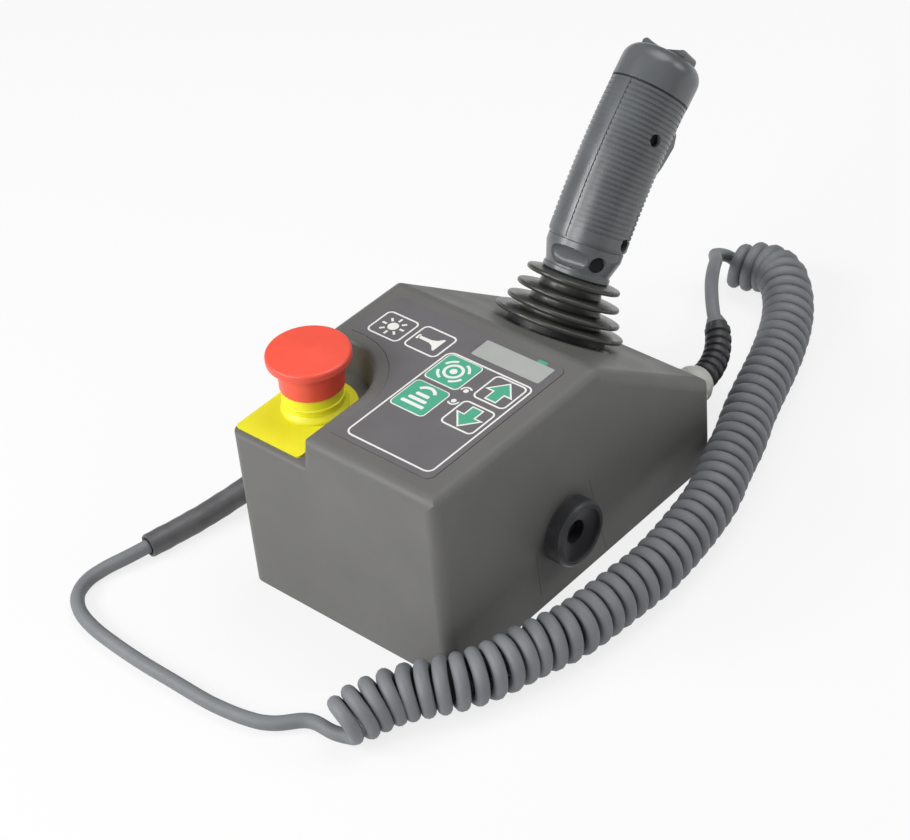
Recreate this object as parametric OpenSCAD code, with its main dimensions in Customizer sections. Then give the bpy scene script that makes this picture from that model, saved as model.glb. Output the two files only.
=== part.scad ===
// Handheld control box with a twist-release stop button, a sealed key panel,
// a sprung joystick with thumb rocker and trigger, a sounder and a coiled cord.
// Units are millimetres. +X is the operator's right, +Y points away from the
// operator and +Z is up. The origin is the centre of the flat base.

/* [Enclosure] */
// Width of the enclosure, left to right
body_w = 126; // [120:1:136]
// Depth of the enclosure, front to rear
body_l = 198; // [192:1:210]
// Height of the level key panel above the base
panel_h = 106; // [102:1:112]
// Depth of the level key panel, from the front to the top of the slope
panel_l = 116; // [112:1:120]
// Height of the rear wall at the foot of the slope
rear_h = 48; // [46:1:54]
// Thickness of the moulded walls
wall = 3.5; // [3:0.25:4]
// Radius of the upright and upper edges
edge_r = 6; // [4:0.5:7]
// Radius of the ridge between panel and slope
ridge_r = 10; // [6:1:14]

/* [Bottom cover] */
// Thickness of the cover plate that closes the base
cover_t = 4; // [3.5:0.25:5]
// Width of the enclosure's lip around the cover
cover_lip = 1.6; // [1.4:0.1:1.8]
// Thickness of the sealing gasket under the cover
gasket_t = 1; // [0.8:0.1:1.5]
// Diameter of the screw bosses in the corners
boss_d = 9; // [8:0.5:10]
// Height of the screw bosses
boss_h = 13; // [10:1:14]
// Shank diameter of the cover and flange screws
screw_d = 4; // [3.5:0.25:4.5]
// Head diameter of the cover and flange screws
screw_head_d = 7; // [6.5:0.25:7.5]
// Head height of the cover and flange screws
screw_head_h = 2; // [1.8:0.1:2.2]

/* [Key panel] */
// Left edge of the graphic overlay, from the centre line
overlay_left = -52; // [-53:0.5:-50]
// Right edge of the graphic overlay, from the centre line
overlay_right = 50; // [47:0.5:51]
// Distance of the overlay's front edge from the front face
overlay_front = 12; // [10:0.5:13]
// Distance of the overlay's rear edge from the front face
overlay_rear = 107; // [105:0.5:107]
// Thickness of the graphic overlay
overlay_t = 0.8; // [0.6:0.1:1.2]
// Depth of the shallow seat that locates the overlay
overlay_seat = 0.6; // [0.4:0.1:0.8]
// Corner radius of the overlay
overlay_r = 4; // [2:0.5:6]
// Width of the strip of bare panel between stop pocket and overlay
overlay_margin = 7; // [5:0.5:8]
// Width of the display window
window_w = 40; // [34:1:41]
// Depth of the display window, front to rear
window_l = 12.5; // [10:0.5:13]
// Centre of the display window, right of the centre line
window_x = 25.5; // [24:0.5:27]
// Distance of the window's centre from the front face
window_y = 98; // [96:0.5:99]
// Thickness of the window's lens
window_t = 2.2; // [1.8:0.1:2.6]

/* [Stop pocket] */
// Distance of the pocket's straight side wall from the left face
pocket_w = 48; // [46:0.5:52]
// Depth of the pocket floor below the panel
pocket_d = 17; // [14:0.5:19]
// Radius of the dished wall where it meets the pocket floor
dish_floor_r = 28; // [26:0.5:29]
// Radius of the dished wall at the panel, inside the rounded rim
dish_rim_r = 31; // [30:0.5:33]
// Radius of the pocket's rounded rim
rim_r = 3; // [2:0.5:4]
// Radius of the upright edge beside the pocket's open front
post_r = 5; // [3:0.5:6]
// Radius of the pocket floor's front edge
sill_r = 3.5; // [2:0.5:4]

/* [Stop button] */
// Distance of the button's axis from the left face
stop_in = 20.2; // [20:0.1:22]
// Distance of the button's axis from the front face
stop_back = 36.5; // [34:0.5:39]
// Diameter of the mushroom head
stop_head_d = 40; // [38:0.5:42]
// Outer diameter of the skirt below the head
skirt_d = 30.6; // [29.6:0.2:31]
// Wall of the skirt
skirt_t = 0.9; // [0.8:0.05:1]
// Gap between the skirt and the collar that it slides over
skirt_gap = 0.3; // [0.25:0.05:0.4]
// Height of the skirt's lower edge above the pocket floor
skirt_lift = 13.8; // [13.5:0.1:14.5]
// Height of the skirt below the head
skirt_h = 12.2; // [11:0.2:13]
// Height of the mushroom head from its underside to the crown
head_h = 7.6; // [6.5:0.1:9]
// Height of the flare under the head
head_flare = 2.2; // [1.6:0.1:2.6]
// Rise of the crown above the head's rim
head_crown = 1.4; // [0.8:0.1:2]
// Press travel of the button
stop_travel = 5; // [3:0.5:5]
// Diameter of the mounting barrel
barrel_d = 22; // [21.5:0.25:22.5]
// Diameter of the plunger in the barrel
plunger_d = 13; // [12:0.25:14]
// Diameter of the legend plate's rounded end
plate_d = 40; // [38:0.5:40]
// Thickness of the legend plate
plate_t = 1; // [0.8:0.1:1.5]
// Outer diameter of the yellow collar at its foot
collar_d = 32.2; // [31.6:0.2:34]
// Height of the collar above the legend plate
collar_h = 14.5; // [14.2:0.1:15]
// Thickness of the collar's base
collar_base_t = 4; // [3:0.25:4.5]
// Thickness of the bead round the collar
collar_bead = 1.6; // [1.2:0.1:2]
// Size across flats of the barrel's fixing nut
stop_nut_af = 28; // [26:0.5:30]
// Thickness of the barrel's fixing nut
stop_nut_t = 5; // [4:0.5:6]
// Width of the contact block, left to right
contact_w = 28; // [24:1:30]
// Depth of the contact block, front to rear
contact_l = 42; // [36:1:46]
// Height of the contact block
contact_h = 26; // [20:1:30]

/* [Joystick mount] */
// Distance of the joystick's axis below the middle of the slope
stick_down = 2; // [0:0.5:4]
// Diameter of the ring that seats the bellows on the slope
flange_d = 49; // [48:0.5:51]
// Height of the ring above the slope
flange_t = 3; // [2.5:0.25:4]
// Diameter of the opening in the slope
stick_hole_d = 38; // [37:0.5:40]
// Wall of the ring's spigot in the opening
flange_spigot_t = 1.8; // [1.5:0.1:2.2]
// Depth of the tilt axis below the slope
pivot_depth = 14; // [12:0.5:16]
// Diameter of the pivot pin
pivot_d = 6; // [5:0.5:7]
// Side length of the pivot housing under the slope
housing_w = 46; // [44:1:48]
// Wall of the pivot housing
housing_wall = 5; // [4:0.5:6]
// Depth of the pivot housing under the slope
housing_h = 36; // [34:1:40]
// Thickness of the housing's own flange
housing_flange_t = 4; // [3:0.5:5]
// Wall of the rod's eye round the pivot pin
eye_wall = 4.5; // [4:0.25:5]
// Width of the rod's eye along the pivot pin
eye_w = 20; // [16:1:24]
// Length of the centring stub below the eye
stub_l = 4; // [3:0.5:6]

/* [Bellows] */
// Height of the bellows, from the ring to the grip
bellows_h = 26; // [25:0.5:29]
// Core diameter of the bellows at its foot
bellows_foot_d = 44.5; // [42:0.5:46]
// Core diameter of the bellows under its highest fold
bellows_waist_d = 29; // [28:0.5:32]
// Core diameter of the bellows at its top
bellows_top_d = 31.6; // [31:0.2:33]
// Diameter of the lowest fold
fold_low_d = 64.2; // [61:0.2:65]
// Diameter of the highest fold
fold_high_d = 46.8; // [45:0.2:48]
// Thickness of a fold at its root
fold_root_t = 3.8; // [3.2:0.1:4.2]
// Thickness of a fold at its rounded tip
fold_tip_t = 2.2; // [1.6:0.1:2.6]
// Crowding of the folds toward the foot
fold_crowd = 1.15; // [1:0.05:1.3]
// Flare of the folds toward the foot
fold_flare = 0.75; // [0.6:0.05:1]
// Number of folds
fold_n = 4; // [3:1:4]
// Wall of the bellows
bellows_t = 1.6; // [1.2:0.1:1.8]

/* [Grip] */
// Lean of the grip's foot away from the operator, beyond the slope's normal
grip_lean = 1; // [0:0.5:6]
// Bend of the grip along its shells, away from the operator
grip_bend = 13; // [8:0.5:14]
// Diameter of the grip over its ribs
grip_d = 39.2; // [38.4:0.2:40]
// Height of the plain collar at the foot of the grip
neck_h = 17; // [16:0.5:19]
// Width of the collar's thumb recess
recess_w = 25; // [22:0.5:27]
// Height of the collar's thumb recess
recess_h = 9.6; // [8:0.2:10]
// Depth of the collar's thumb recess
recess_d = 5; // [3:0.5:6]
// Diameter of the screw well in the collar
neck_well_d = 8.4; // [7.6:0.2:9]
// Depth of the screw well in the collar
neck_well_l = 4; // [3:0.25:5]
// Length of the two ribbed grip shells along their bend
grip_h = 76.5; // [74:0.5:80]
// Length of the plain band at the foot of the shells
band_h = 6; // [5:0.5:8]
// Pitch of the grip's ribs
rib_pitch = 2.5; // [2.3:0.1:3]
// Width of a rib's land
rib_land = 1.5; // [1.2:0.1:1.7]
// Depth of the grooves between the ribs
rib_depth = 0.4; // [0.3:0.05:0.6]
// Diameter of the screw wells in the shells
grip_well_d = 6.4; // [6:0.2:7]
// Depth of the screw wells in the shells
grip_well_l = 5; // [4:0.25:6]
// Height of the upper screw well above the foot of the shells
well_high = 55; // [52:0.5:58]
// Height of the lower screw well above the foot of the shells
well_low = 4.2; // [4:0.1:5]
// Height of the domed cap on the grip
cap_h = 22; // [21:0.5:24]
// Radius of the cap's shoulder
cap_r = 9; // [7:0.5:10]
// Rise of the cap's crown above its shoulder
cap_crown = 3.5; // [2.5:0.25:4]
// Diameter of the joystick's steel rod
rod_d = 12; // [10:0.5:13]
// Half length of the thumb rocker, from its pivot to an end
rocker_half = 13; // [12:0.25:13.5]
// Width of the thumb rocker
rocker_w = 13; // [11:0.5:14]
// Height of the rocker's ends above its pivot
rocker_rise = 7.4; // [7:0.1:8]
// Depth of the rocker's pivot below the top of the cap
rocker_drop = 5; // [4.5:0.25:6]
// Tilt of the rocker each way
rocker_tilt = 10; // [6:1:10]
// Width of the trigger
trigger_w = 16; // [13:0.5:17]
// Length of the trigger below its pivot
trigger_h = 32; // [28:0.5:34]
// Reach of the trigger's finger face from its pivot
trigger_reach = 16; // [14:0.5:17]
// Distance of the trigger's pivot below the top of the grip shells
trigger_drop = 13; // [11:0.5:15]
// Depth of the trigger's pivot below the surface of the grip
trigger_in = 5.9; // [5:0.1:7]
// Pull of the trigger
trigger_pull = 8; // [5:0.5:8]
// Diameter of the trigger and rocker pins
small_pin_d = 4; // [3:0.25:4]

/* [Sounder] */
// Distance of the sounder's axis from the front face
sounder_back = 85; // [80:0.5:90]
// Height of the sounder's axis above the base
sounder_z = 34.5; // [32:0.5:40]
// Diameter of the knurled ring
sounder_d = 33.4; // [32:0.2:35]
// Height of the ring above the side wall
sounder_h = 9; // [7:0.5:10]
// Diameter of the threaded stem through the wall
sounder_stem_d = 27; // [25:0.5:28]
// Diameter of the sound hole
sound_hole_d = 12; // [10:0.5:13]
// Length of the stem behind the side wall
sounder_stem_l = 18; // [14:0.5:22]
// Width of the stem's nut across its flats
sounder_nut_af = 34; // [33:0.5:36]
// Thickness of the stem's nut
sounder_nut_t = 5; // [4:0.5:6]

/* [Cord gland] */
// Distance of the gland's axis from the right face
gland_in = 18; // [16:0.5:22]
// Height of the gland's axis above the base
gland_z = 32; // [30.5:0.5:32]
// Diameter of the gland's threaded stem
gland_d = 16; // [15:0.5:17]
// Size across flats of the gland's hexagons
gland_af = 20; // [19:0.5:21]
// Thickness of the gland body's hexagon
gland_hex_t = 6; // [5:0.5:7]
// Length of the domed gland nut
gland_nut_t = 10; // [8:0.5:12]
// Thickness of the locknut inside the wall
locknut_t = 4; // [3:0.5:5]
// Diameter of the strain relief's core
relief_d = 10; // [9.5:0.5:11]
// Number of ribs on the strain relief
relief_ribs = 7; // [4:1:8]
// Bend radius of the strain relief
relief_bend_r = 38; // [36:1:42]

/* [Cord] */
// Diameter of the cord
cord_d = 7; // [6:0.5:7]
// Outer diameter of the coiled stretch
coil_d = 26.4; // [25:0.2:26.4]
// Diameter of the shrink sleeve behind the plug
sleeve_d = 12; // [11:0.5:12]
// Diameter of the plug over its finger band
plug_d = 23; // [21:0.5:23]
// Length of the plug's shell
plug_l = 34; // [30:1:40]
// Length of the plug's finger band
plug_band_l = 14; // [10:1:16]
// Height of the plug's finger band
plug_band_h = 1.5; // [1:0.1:2]
// Length of the plug's nose in front of the finger band
plug_nose_l = 6; // [4:0.5:8]
// Length of the taper behind the plug
plug_taper_l = 8; // [6:0.5:9]
// Diameter of the plug's insulating insert
insert_d = 15; // [14:0.5:16]
// Length of the plug's insulating insert
insert_l = 8; // [6:0.5:10]
// Number of contact pins in the plug
plug_pin_n = 7; // [4:1:9]
// Diameter of a contact pin
plug_pin_d = 1.5; // [1:0.1:2]
// Length of a contact pin in front of the insert
plug_pin_l = 7; // [5:0.5:8]
// Diameter of the circle of contact pins
plug_pin_pcd = 9; // [8:0.5:10]

/* [Fits] */
// Radial play of shafts and pins that turn or slide
run_gap = 0.06; // [0.03:0.01:0.1]
// Radial play of fixed fasteners and stems in their holes
hole_gap = 0.2; // [0.1:0.05:0.3]
// Gap round plates and lenses in their seats
seat_gap = 0.2; // [0.1:0.05:0.3]
// Gap between moving parts and the openings they work in
move_gap = 0.6; // [0.4:0.1:0.8]

/* [Hidden] */
$fn = 64;
// Cut depth past a surface, so that every cut runs clear
over = 1;

// Colours
charcoal = [0.24, 0.24, 0.25];
black = [0.08, 0.08, 0.09];
grey = [0.45, 0.45, 0.46];
pale = [0.7, 0.7, 0.7];
steel = [0.75, 0.76, 0.78];
red = [0.85, 0.1, 0.08];
yellow = [0.95, 0.85, 0.1];
cord_grey = [0.3, 0.3, 0.31];

// Enclosure lines
front_y = -body_l / 2;
rear_y = body_l / 2;
left_x = -body_w / 2;
right_x = body_w / 2;
ridge_y = front_y + panel_l;
slope_run = rear_y - ridge_y;
slope_fall = panel_h - rear_h;
slope_angle = atan2(slope_fall, slope_run);
far = body_l + body_w;

// Bottom cover lines
ledge_z = cover_t + gasket_t;
head_sink = 0.4;
head_recess = screw_head_h + head_sink;
boss_blend = 1;
boss_in = wall + boss_d / 2 - boss_blend;
boss_x = body_w / 2 - boss_in;
boss_y = body_l / 2 - boss_in;
cover_screw_l = cover_t - head_recess + gasket_t + boss_h / 2;
cover_w = body_w - 2 * cover_lip - 2 * seat_gap;
cover_l = body_l - 2 * cover_lip - 2 * seat_gap;
cover_r = edge_r - cover_lip - seat_gap;

// Key panel lines
overlay_z = panel_h - overlay_seat;
window_z = overlay_z + overlay_t - window_t;
window_r = 1;

// Stop button lines
stop_x = left_x + stop_in;
stop_y = front_y + stop_back;
pocket_x = left_x + pocket_w;
dish_x = pocket_x - dish_rim_r;
floor_z = panel_h - pocket_d;
plate_z = floor_z + plate_t;
plate_back = 0.5;
plate_corner_r = 2;
collar_floor_z = plate_z + collar_base_t;
barrel_flange_t = 1.5;
barrel_flange_d = barrel_d + 4;
barrel_thread = 4;
barrel_low_z = floor_z - wall - stop_nut_t - barrel_thread;
skirt_z = floor_z + skirt_lift;
head_z = skirt_z + skirt_h;
collar_band_r = skirt_d / 2 - skirt_t - skirt_gap;
bead_z = skirt_lift - plate_t - stop_travel - skirt_gap - collar_bead / 2;
plunger_top_z = head_z + head_h / 2;
plunger_low_z = barrel_low_z + stop_travel + move_gap;
hub_wall = 2.5;
hub_lift = 1;

// Joystick lines, in the frame of the slope
flange_top = flange_t;
flange_screw = flange_d / 2 + screw_head_d / 2 + seat_gap;
flange_bore_d = stick_hole_d - 2 * hole_gap - 2 * flange_spigot_t;
neck_z = flange_top + bellows_h;
fold_foot = 0.2;
fold_head = 0.6;
fold_low_z = flange_top + fold_root_t / 2 + fold_foot;
fold_high_z = neck_z - fold_root_t / 2 - fold_head;
waist_z = fold_high_z - fold_root_t / 2;
cavity_w = housing_w - 2 * housing_wall;
housing_flange_d = 2 * flange_screw + screw_head_d + 1;
housing_r = 4;
cavity_r = 2;
eye_d = pivot_d + 2 * eye_wall;
spigot_d = rod_d - 2;
spigot_root = 8;
spigot_top = neck_h + grip_h / 2;
screw_end = 2;

// Grip lines: the foot of the shells, the bend and the cap on its end
shell_z = neck_h;
bend_r = grip_h / (grip_bend * PI / 180);
grip_bore_d = spigot_d + 2 * run_gap;
seam_v = 0.3;
strip_angle = 30;
strip_drop = 0.1;
neck_step = 0.3;
neck_lip = 0.6;
neck_lip_h = 2.6;
neck_groove = 0.8;
neck_well_turn = -31;
neck_in = 0.8;
neck_well_z = neck_h / 2 + 0.3;
recess_z = neck_h / 2 - 0.5;
well_high_turn = -18;
well_low_turn = 6;
head_gap = 0.3;
grip_head_h = 2.2;
cap_over = 0.2;
cap_groove = 0.5;
rocker_z = cap_h - rocker_drop;
rocker_keel = 3.4;
rocker_keel_w = 3;
rocker_pin_in = 7;
rocker_pin_l = grip_d - 2 * rocker_pin_in;
trigger_y = grip_d / 2 - trigger_in;
trigger_top = 4;
trigger_back = 2;
trigger_pin_edge = trigger_y + small_pin_d / 2;
trigger_pin_l = 2 * sqrt(pow(grip_d / 2 - rib_depth, 2) - pow(trigger_pin_edge, 2)) - 2 * head_gap;
bay_depth = trigger_back + trigger_h * sin(trigger_pull) + move_gap;
bay_end = 5;

// Sounder lines, along +X from the side wall
sounder_y = front_y + sounder_back;
dish_lip = 1.6;
dish_depth = 2.4;
ring_t = 2.4;
ring_lip = 0.8;
ring_bevel = 1.2;
sounder_face_r = sounder_d / 2 - ring_t;
sound_hole_l = 9;

// Cord gland lines, along +Y from the rear wall
gland_x = right_x - gland_in;
gland_bore_d = cord_d + 0.6;
gland_thread = 3;
gland_low = wall + locknut_t + gland_thread;
gland_dome = 2.5;
locknut_af = gland_af + 2;
relief_start_y = rear_y + gland_hex_t + gland_nut_t;
relief_turn = 55;
relief_roll = 33;
relief_rib_t = 2.6;
relief_rib_h = 1.5;
relief_rib_fall = 0.25;
relief_start = [gland_x, relief_start_y, gland_z];
relief_side = relief_bend_r * (1 - cos(relief_turn));
relief_end = relief_start
  + [-relief_side * cos(relief_roll), relief_bend_r * sin(relief_turn), relief_side * sin(relief_roll)];
relief_dir = [-sin(relief_turn) * cos(relief_roll), cos(relief_turn), sin(relief_turn) * sin(relief_roll)];

// Cord route, in millimetres, resting on the floor that carries the base
coil_z = 13.5;
coil_route = [[-10, 222, coil_z], [-6, 231, coil_z], [2, 235, coil_z], [12, 231, coil_z],
  [22, 222, coil_z], [31, 211, coil_z], [39, 197, coil_z], [47, 180, coil_z], [54, 162, coil_z],
  [60, 144, coil_z], [67, 124, coil_z], [75, 105, coil_z], [84, 81, coil_z], [92, 60, coil_z],
  [98, 32, coil_z], [102, 5, coil_z], [102, -14, coil_z], [100, -32, coil_z], [97, -49, coil_z],
  [93, -61, coil_z], [87, -76, coil_z], [81, -92, coil_z], [73, -108, coil_z], [64, -121, coil_z],
  [58, -130, coil_z], [53, -140, coil_z], [50, -148, coil_z], [48, -156, coil_z]];
coil_last = len(coil_route) - 1;
coil_in_dir = unit(coil_route[1] - coil_route[0]);
coil_out_dir = unit(coil_route[coil_last] - coil_route[coil_last - 1]);
lead_route = [relief_end, relief_end + 5 * relief_dir, [21, 157, 45], [12, 169, 45], [3, 183, 42],
  [-5, 196, 37], [-12, 206, 30], [-15, 212, 22], [-14.5, 215.5, 16.5], coil_route[0] - 5 * coil_in_dir,
  coil_route[0]];
tail_end = [-115, -118, 6.2];
tail_route = [coil_route[coil_last], coil_route[coil_last] + 5 * coil_out_dir, [44, -167, 12],
  [36, -172, 9.5], [26, -174, 6.5], [12, -174, 4], [-4, -174, 4], [-20, -175, 4], [-40, -175, 4],
  [-60, -175, 4], [-80, -174, 4], [-97, -172, 4], [-110, -168, 4], [-119, -161, 4], [-123, -151, 4],
  [-122, -140, 4.4], [-118, -129, 5.6], tail_end];
sleeve_route = [tail_end, [-112, -104, 6.2], [-108, -88, 7.2], [-104, -72, 9.4], [-101, -58.7, 11.4],
  [-99, -49.8, 11.8]];
sleeve_end = sleeve_route[5];
plug_dir = unit(sleeve_route[5] - sleeve_route[4]);
cord_sides = 12;

function unit(v) = v / norm(v);

// Direction of a route at one of its points
function heading(route, i) = unit(route[min(i + 1, len(route) - 1)] - route[max(i - 1, 0)]);

// One ring of points square to the route
function ring(route, i, r) =
  let (d = heading(route, i), s = unit(cross(d, [0, 0, 1])), u = cross(s, d), step = 360 / cord_sides)
  [for (k = [0 : cord_sides - 1]) route[i] + r * (cos(step * k) * s + sin(step * k) * u)];

// Directions from a corner of an outline to its two neighbours
function arms(p, i) = let (n = len(p)) [unit(p[(i + n - 1) % n] - p[i]), unit(p[(i + 1) % n] - p[i])];

// Corner of an outline: the two points where its arc starts and ends
function corner_ends(p, r, i) = let (a = arms(p, i), reach = r[i] / tan(acos(a[0] * a[1]) / 2))
  r[i] == 0 ? [p[i]] : [p[i] + a[0] * reach, p[i] + a[1] * reach];

// Corner of an outline: the centre of its arc
function arc_centre(p, r, i) = let (a = arms(p, i))
  p[i] + unit(a[0] + a[1]) * r[i] / sin(acos(a[0] * a[1]) / 2);

// Corner of an outline: positive where the outline turns left
function bend(p, i) = let (a = arms(p, i)) a[0][1] * a[1][0] - a[0][0] * a[1][1];

// Core radius of the bellows at a height above the slope
function core_r(z) = bellows_foot_d / 2
  - (bellows_foot_d - bellows_waist_d) / 2 * (z - flange_top) / (waist_z - flange_top);

// Bend of the grip at a length along its shells
function bend_at(length) = grip_bend * length / grip_h;

// Closed outline, listed anticlockwise, with a true arc at each rounded corner
module rounded_outline(p, r) {
  corners = [for (i = [0 : len(p) - 1]) if (r[i] > 0) i];
  difference() {
    union() {
      polygon([for (i = [0 : len(p) - 1]) each corner_ends(p, r, i)]);
      for (i = corners) if (bend(p, i) > 0) translate(arc_centre(p, r, i)) circle(r = r[i]);
    }
    for (i = corners) if (bend(p, i) < 0) translate(arc_centre(p, r, i)) circle(r = r[i]);
  }
}

// Rectangle about the origin with equal corner radii
module rounded_box(w, l, r) {
  rounded_outline([[-w / 2, -l / 2], [w / 2, -l / 2], [w / 2, l / 2], [-w / 2, l / 2]], [r, r, r, r]);
}

// Outline drawn in Y and Z, extruded along X about the centre plane
module along_x(length) {
  rotate([90, 0, 90]) linear_extrude(height = length, center = true) children();
}

// Outline drawn in X and Z, extruded along Y about the centre plane
module along_y(length) {
  rotate([90, 0, 0]) linear_extrude(height = length, center = true) children();
}

// Cylinder along X about the centre plane
module pin_x(d, length) {
  rotate([0, 90, 0]) cylinder(d = d, h = length, center = true);
}

// Cylinder along Y about the centre plane
module pin_y(d, length) {
  rotate([90, 0, 0]) cylinder(d = d, h = length, center = true);
}

// Hexagonal prism standing on the XY plane
module hexagon(af, t) {
  cylinder(d = af / cos(30), h = t, $fn = 6);
}

// Tube swept along a route, with flat ends
module swept_tube(route, d) {
  n = len(route);
  s = cord_sides;
  polyhedron(
    points = [for (i = [0 : n - 1]) each ring(route, i, d / 2)],
    faces = concat([[for (k = [0 : s - 1]) k]],
      [[for (k = [0 : s - 1]) n * s - 1 - k]],
      [for (i = [0 : n - 2], k = [0 : s - 1])
        [i * s + k, (i + 1) * s + k, (i + 1) * s + (k + 1) % s, i * s + (k + 1) % s]]));
}

// Frame of the slope: origin on its surface at the joystick, Z along its normal
module on_slope() {
  translate([0, ridge_y + slope_run / 2, panel_h - slope_fall / 2]) rotate([-slope_angle, 0, 0])
    translate([0, stick_down, 0]) children();
}

// Frame of the grip: origin at the top of the bellows, leaning further back
module on_grip() {
  on_slope() translate([0, 0, neck_z]) rotate([-grip_lean, 0, 0]) children();
}

// Frame square to the bent shells at a length along them, within the grip's frame
module along_grip(length) {
  t = bend_at(length);
  translate([0, bend_r * (1 - cos(t)), shell_z + bend_r * sin(t)]) rotate([-t, 0, 0]) children();
}

// Frame of the cap: origin at the top of the shells
module on_cap() {
  on_grip() along_grip(grip_h) children();
}

// Frame of the right side wall: Z outward along +X
module on_side() {
  translate([right_x, sounder_y, sounder_z]) rotate([0, 90, 0]) children();
}

// Frame of the rear wall at the gland: Z outward along +Y
module on_rear() {
  translate([gland_x, rear_y, gland_z]) rotate([-90, 0, 0]) children();
}

// Frame of the plug: Z along the cord's end
module on_plug() {
  translate(sleeve_end) rotate([0, 0, -atan2(plug_dir[0], plug_dir[1])]) rotate([-90, 0, 0]) children();
}

// Places of the four cover screws
module at_bosses() {
  for (x = [-boss_x, boss_x], y = [-boss_y, boss_y]) translate([x, y, 0]) children();
}

// Places of the four flange screws, in the frame of the slope
module at_flange_screws() {
  for (turn = [0 : 90 : 270]) rotate([0, 0, turn]) translate([flange_screw, 0, 0]) children();
}

// Flat-headed screw or its hole, head flush with the XY plane and shank along -Z, grown by a gap
module flat_screw(length, gap) {
  head = screw_head_d / 2 + gap;
  shank = screw_d / 2 + gap;
  rotate_extrude() polygon([[0, -length], [shank, -length], [shank, -screw_head_h], [head, 0], [0, 0]]);
}

// Outer form: four profiles crossed, so that every edge carries its own arc
module body_form() {
  intersection() {
    along_x(body_w + 2 * over)
      rounded_outline([[front_y, 0], [rear_y, 0], [rear_y, rear_h], [ridge_y, panel_h], [front_y, panel_h]],
        [0, 0, edge_r, ridge_r, edge_r]);
    linear_extrude(height = panel_h + over) rounded_box(body_w, body_l, edge_r);
    along_y(body_l + 2 * over)
      rounded_outline([[left_x, -over], [right_x, -over], [right_x, panel_h], [left_x, panel_h]],
        [0, 0, edge_r, edge_r]);
    on_slope() along_y(2 * far)
      rounded_outline([[left_x, -far], [right_x, -far], [right_x, 0], [left_x, 0]], [0, 0, edge_r, edge_r]);
  }
}

// Inner form, one wall inside the outer form and clear of the stop pocket
module cavity() {
  drop = wall / cos(slope_angle);
  low = panel_h - drop - (slope_run - wall) * tan(slope_angle);
  difference() {
    along_x(body_w - 2 * wall)
      polygon([[front_y + wall, -over], [rear_y - wall, -over], [rear_y - wall, low],
        [ridge_y + (wall - drop) / tan(slope_angle), panel_h - wall], [front_y + wall, panel_h - wall]]);
    stop_pocket(wall);
  }
}

// Half profile of the stop pocket, across its drafted wall, grown by a wall
module pocket_profile(grow, reach) {
  low = pocket_d + grow;
  draft = (dish_rim_r - dish_floor_r) / pocket_d;
  polygon([[reach, -low], [dish_floor_r + grow - draft * grow, -low],
    [dish_rim_r + grow + draft * over, over], [reach, over]]);
}

// Stop pocket, open to the front and left: a straight bay and a dished end
module stop_pocket(grow) {
  translate([dish_x, stop_y, panel_h]) {
    rotate([90, 0, 0]) linear_extrude(height = stop_back + over) pocket_profile(grow, -dish_floor_r);
    rotate_extrude(angle = 180) pocket_profile(grow, 0);
  }
}

// Waste above the pocket's rounded rim, tangent to the drafted wall
module rim_profile() {
  draft = atan2(dish_rim_r - dish_floor_r, pocket_d);
  centre = [dish_rim_r + rim_r * (1 - sin(draft)) / cos(draft), -rim_r];
  foot = centre + rim_r * [-cos(draft), sin(draft)];
  difference() {
    polygon([foot - [over, 0], foot, centre, [centre[0], over], [foot[0] - over, over]]);
    translate(centre) circle(r = rim_r);
  }
}

// Waste beside a quarter round of radius r, for an edge along +Z
module edge_waste(r, length) {
  difference() {
    translate([-over, -over, 0]) cube([r + over, r + over, length]);
    translate([r, r, -over]) cylinder(r = r, h = length + 2 * over);
  }
}

// Rounding of the pocket's rim, its front post and its front sill
module pocket_rounding() {
  draft = atan2(dish_rim_r - dish_floor_r, pocket_d);
  translate([dish_x, stop_y, panel_h]) {
    rotate([90, 0, 0]) linear_extrude(height = stop_back + over) rim_profile();
    rotate_extrude(angle = 180) rim_profile();
  }
  intersection() {
    translate([dish_x + dish_floor_r, front_y, floor_z]) rotate([0, draft, 0]) translate([0, 0, -over])
      edge_waste(post_r, 2 * pocket_d);
    translate([left_x, front_y - over, floor_z]) cube([body_w, panel_l, 2 * pocket_d]);
  }
  translate([pocket_x + over, front_y, floor_z]) rotate([0, -90, 0]) rotate([0, 0, 90])
    edge_waste(sill_r, pocket_w + 2 * over);
}

// Outline of the overlay, grown on every side by a gap
module overlay_outline(gap) {
  mid_x = (overlay_left + overlay_right) / 2;
  mid_y = front_y + (overlay_front + overlay_rear) / 2;
  w = overlay_right - overlay_left + 2 * gap;
  l = overlay_rear - overlay_front + 2 * gap;
  keep_r = dish_rim_r + overlay_margin - gap;
  difference() {
    translate([mid_x, mid_y]) rounded_box(w, l, overlay_r + gap);
    translate([dish_x, stop_y]) circle(r = keep_r);
    translate([dish_x - body_w, front_y - over]) square([body_w + keep_r, stop_back + over]);
  }
}

// Outline of the display window, grown on every side by a gap
module window_outline(gap) {
  translate([window_x, front_y + window_y])
    rounded_box(window_w + 2 * gap, window_l + 2 * gap, window_r + gap);
}

// Hole through a wall whose outer face is the XY plane
module wall_hole(d) {
  translate([0, 0, -wall - over]) cylinder(d = d, h = wall + 2 * over);
}

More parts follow.
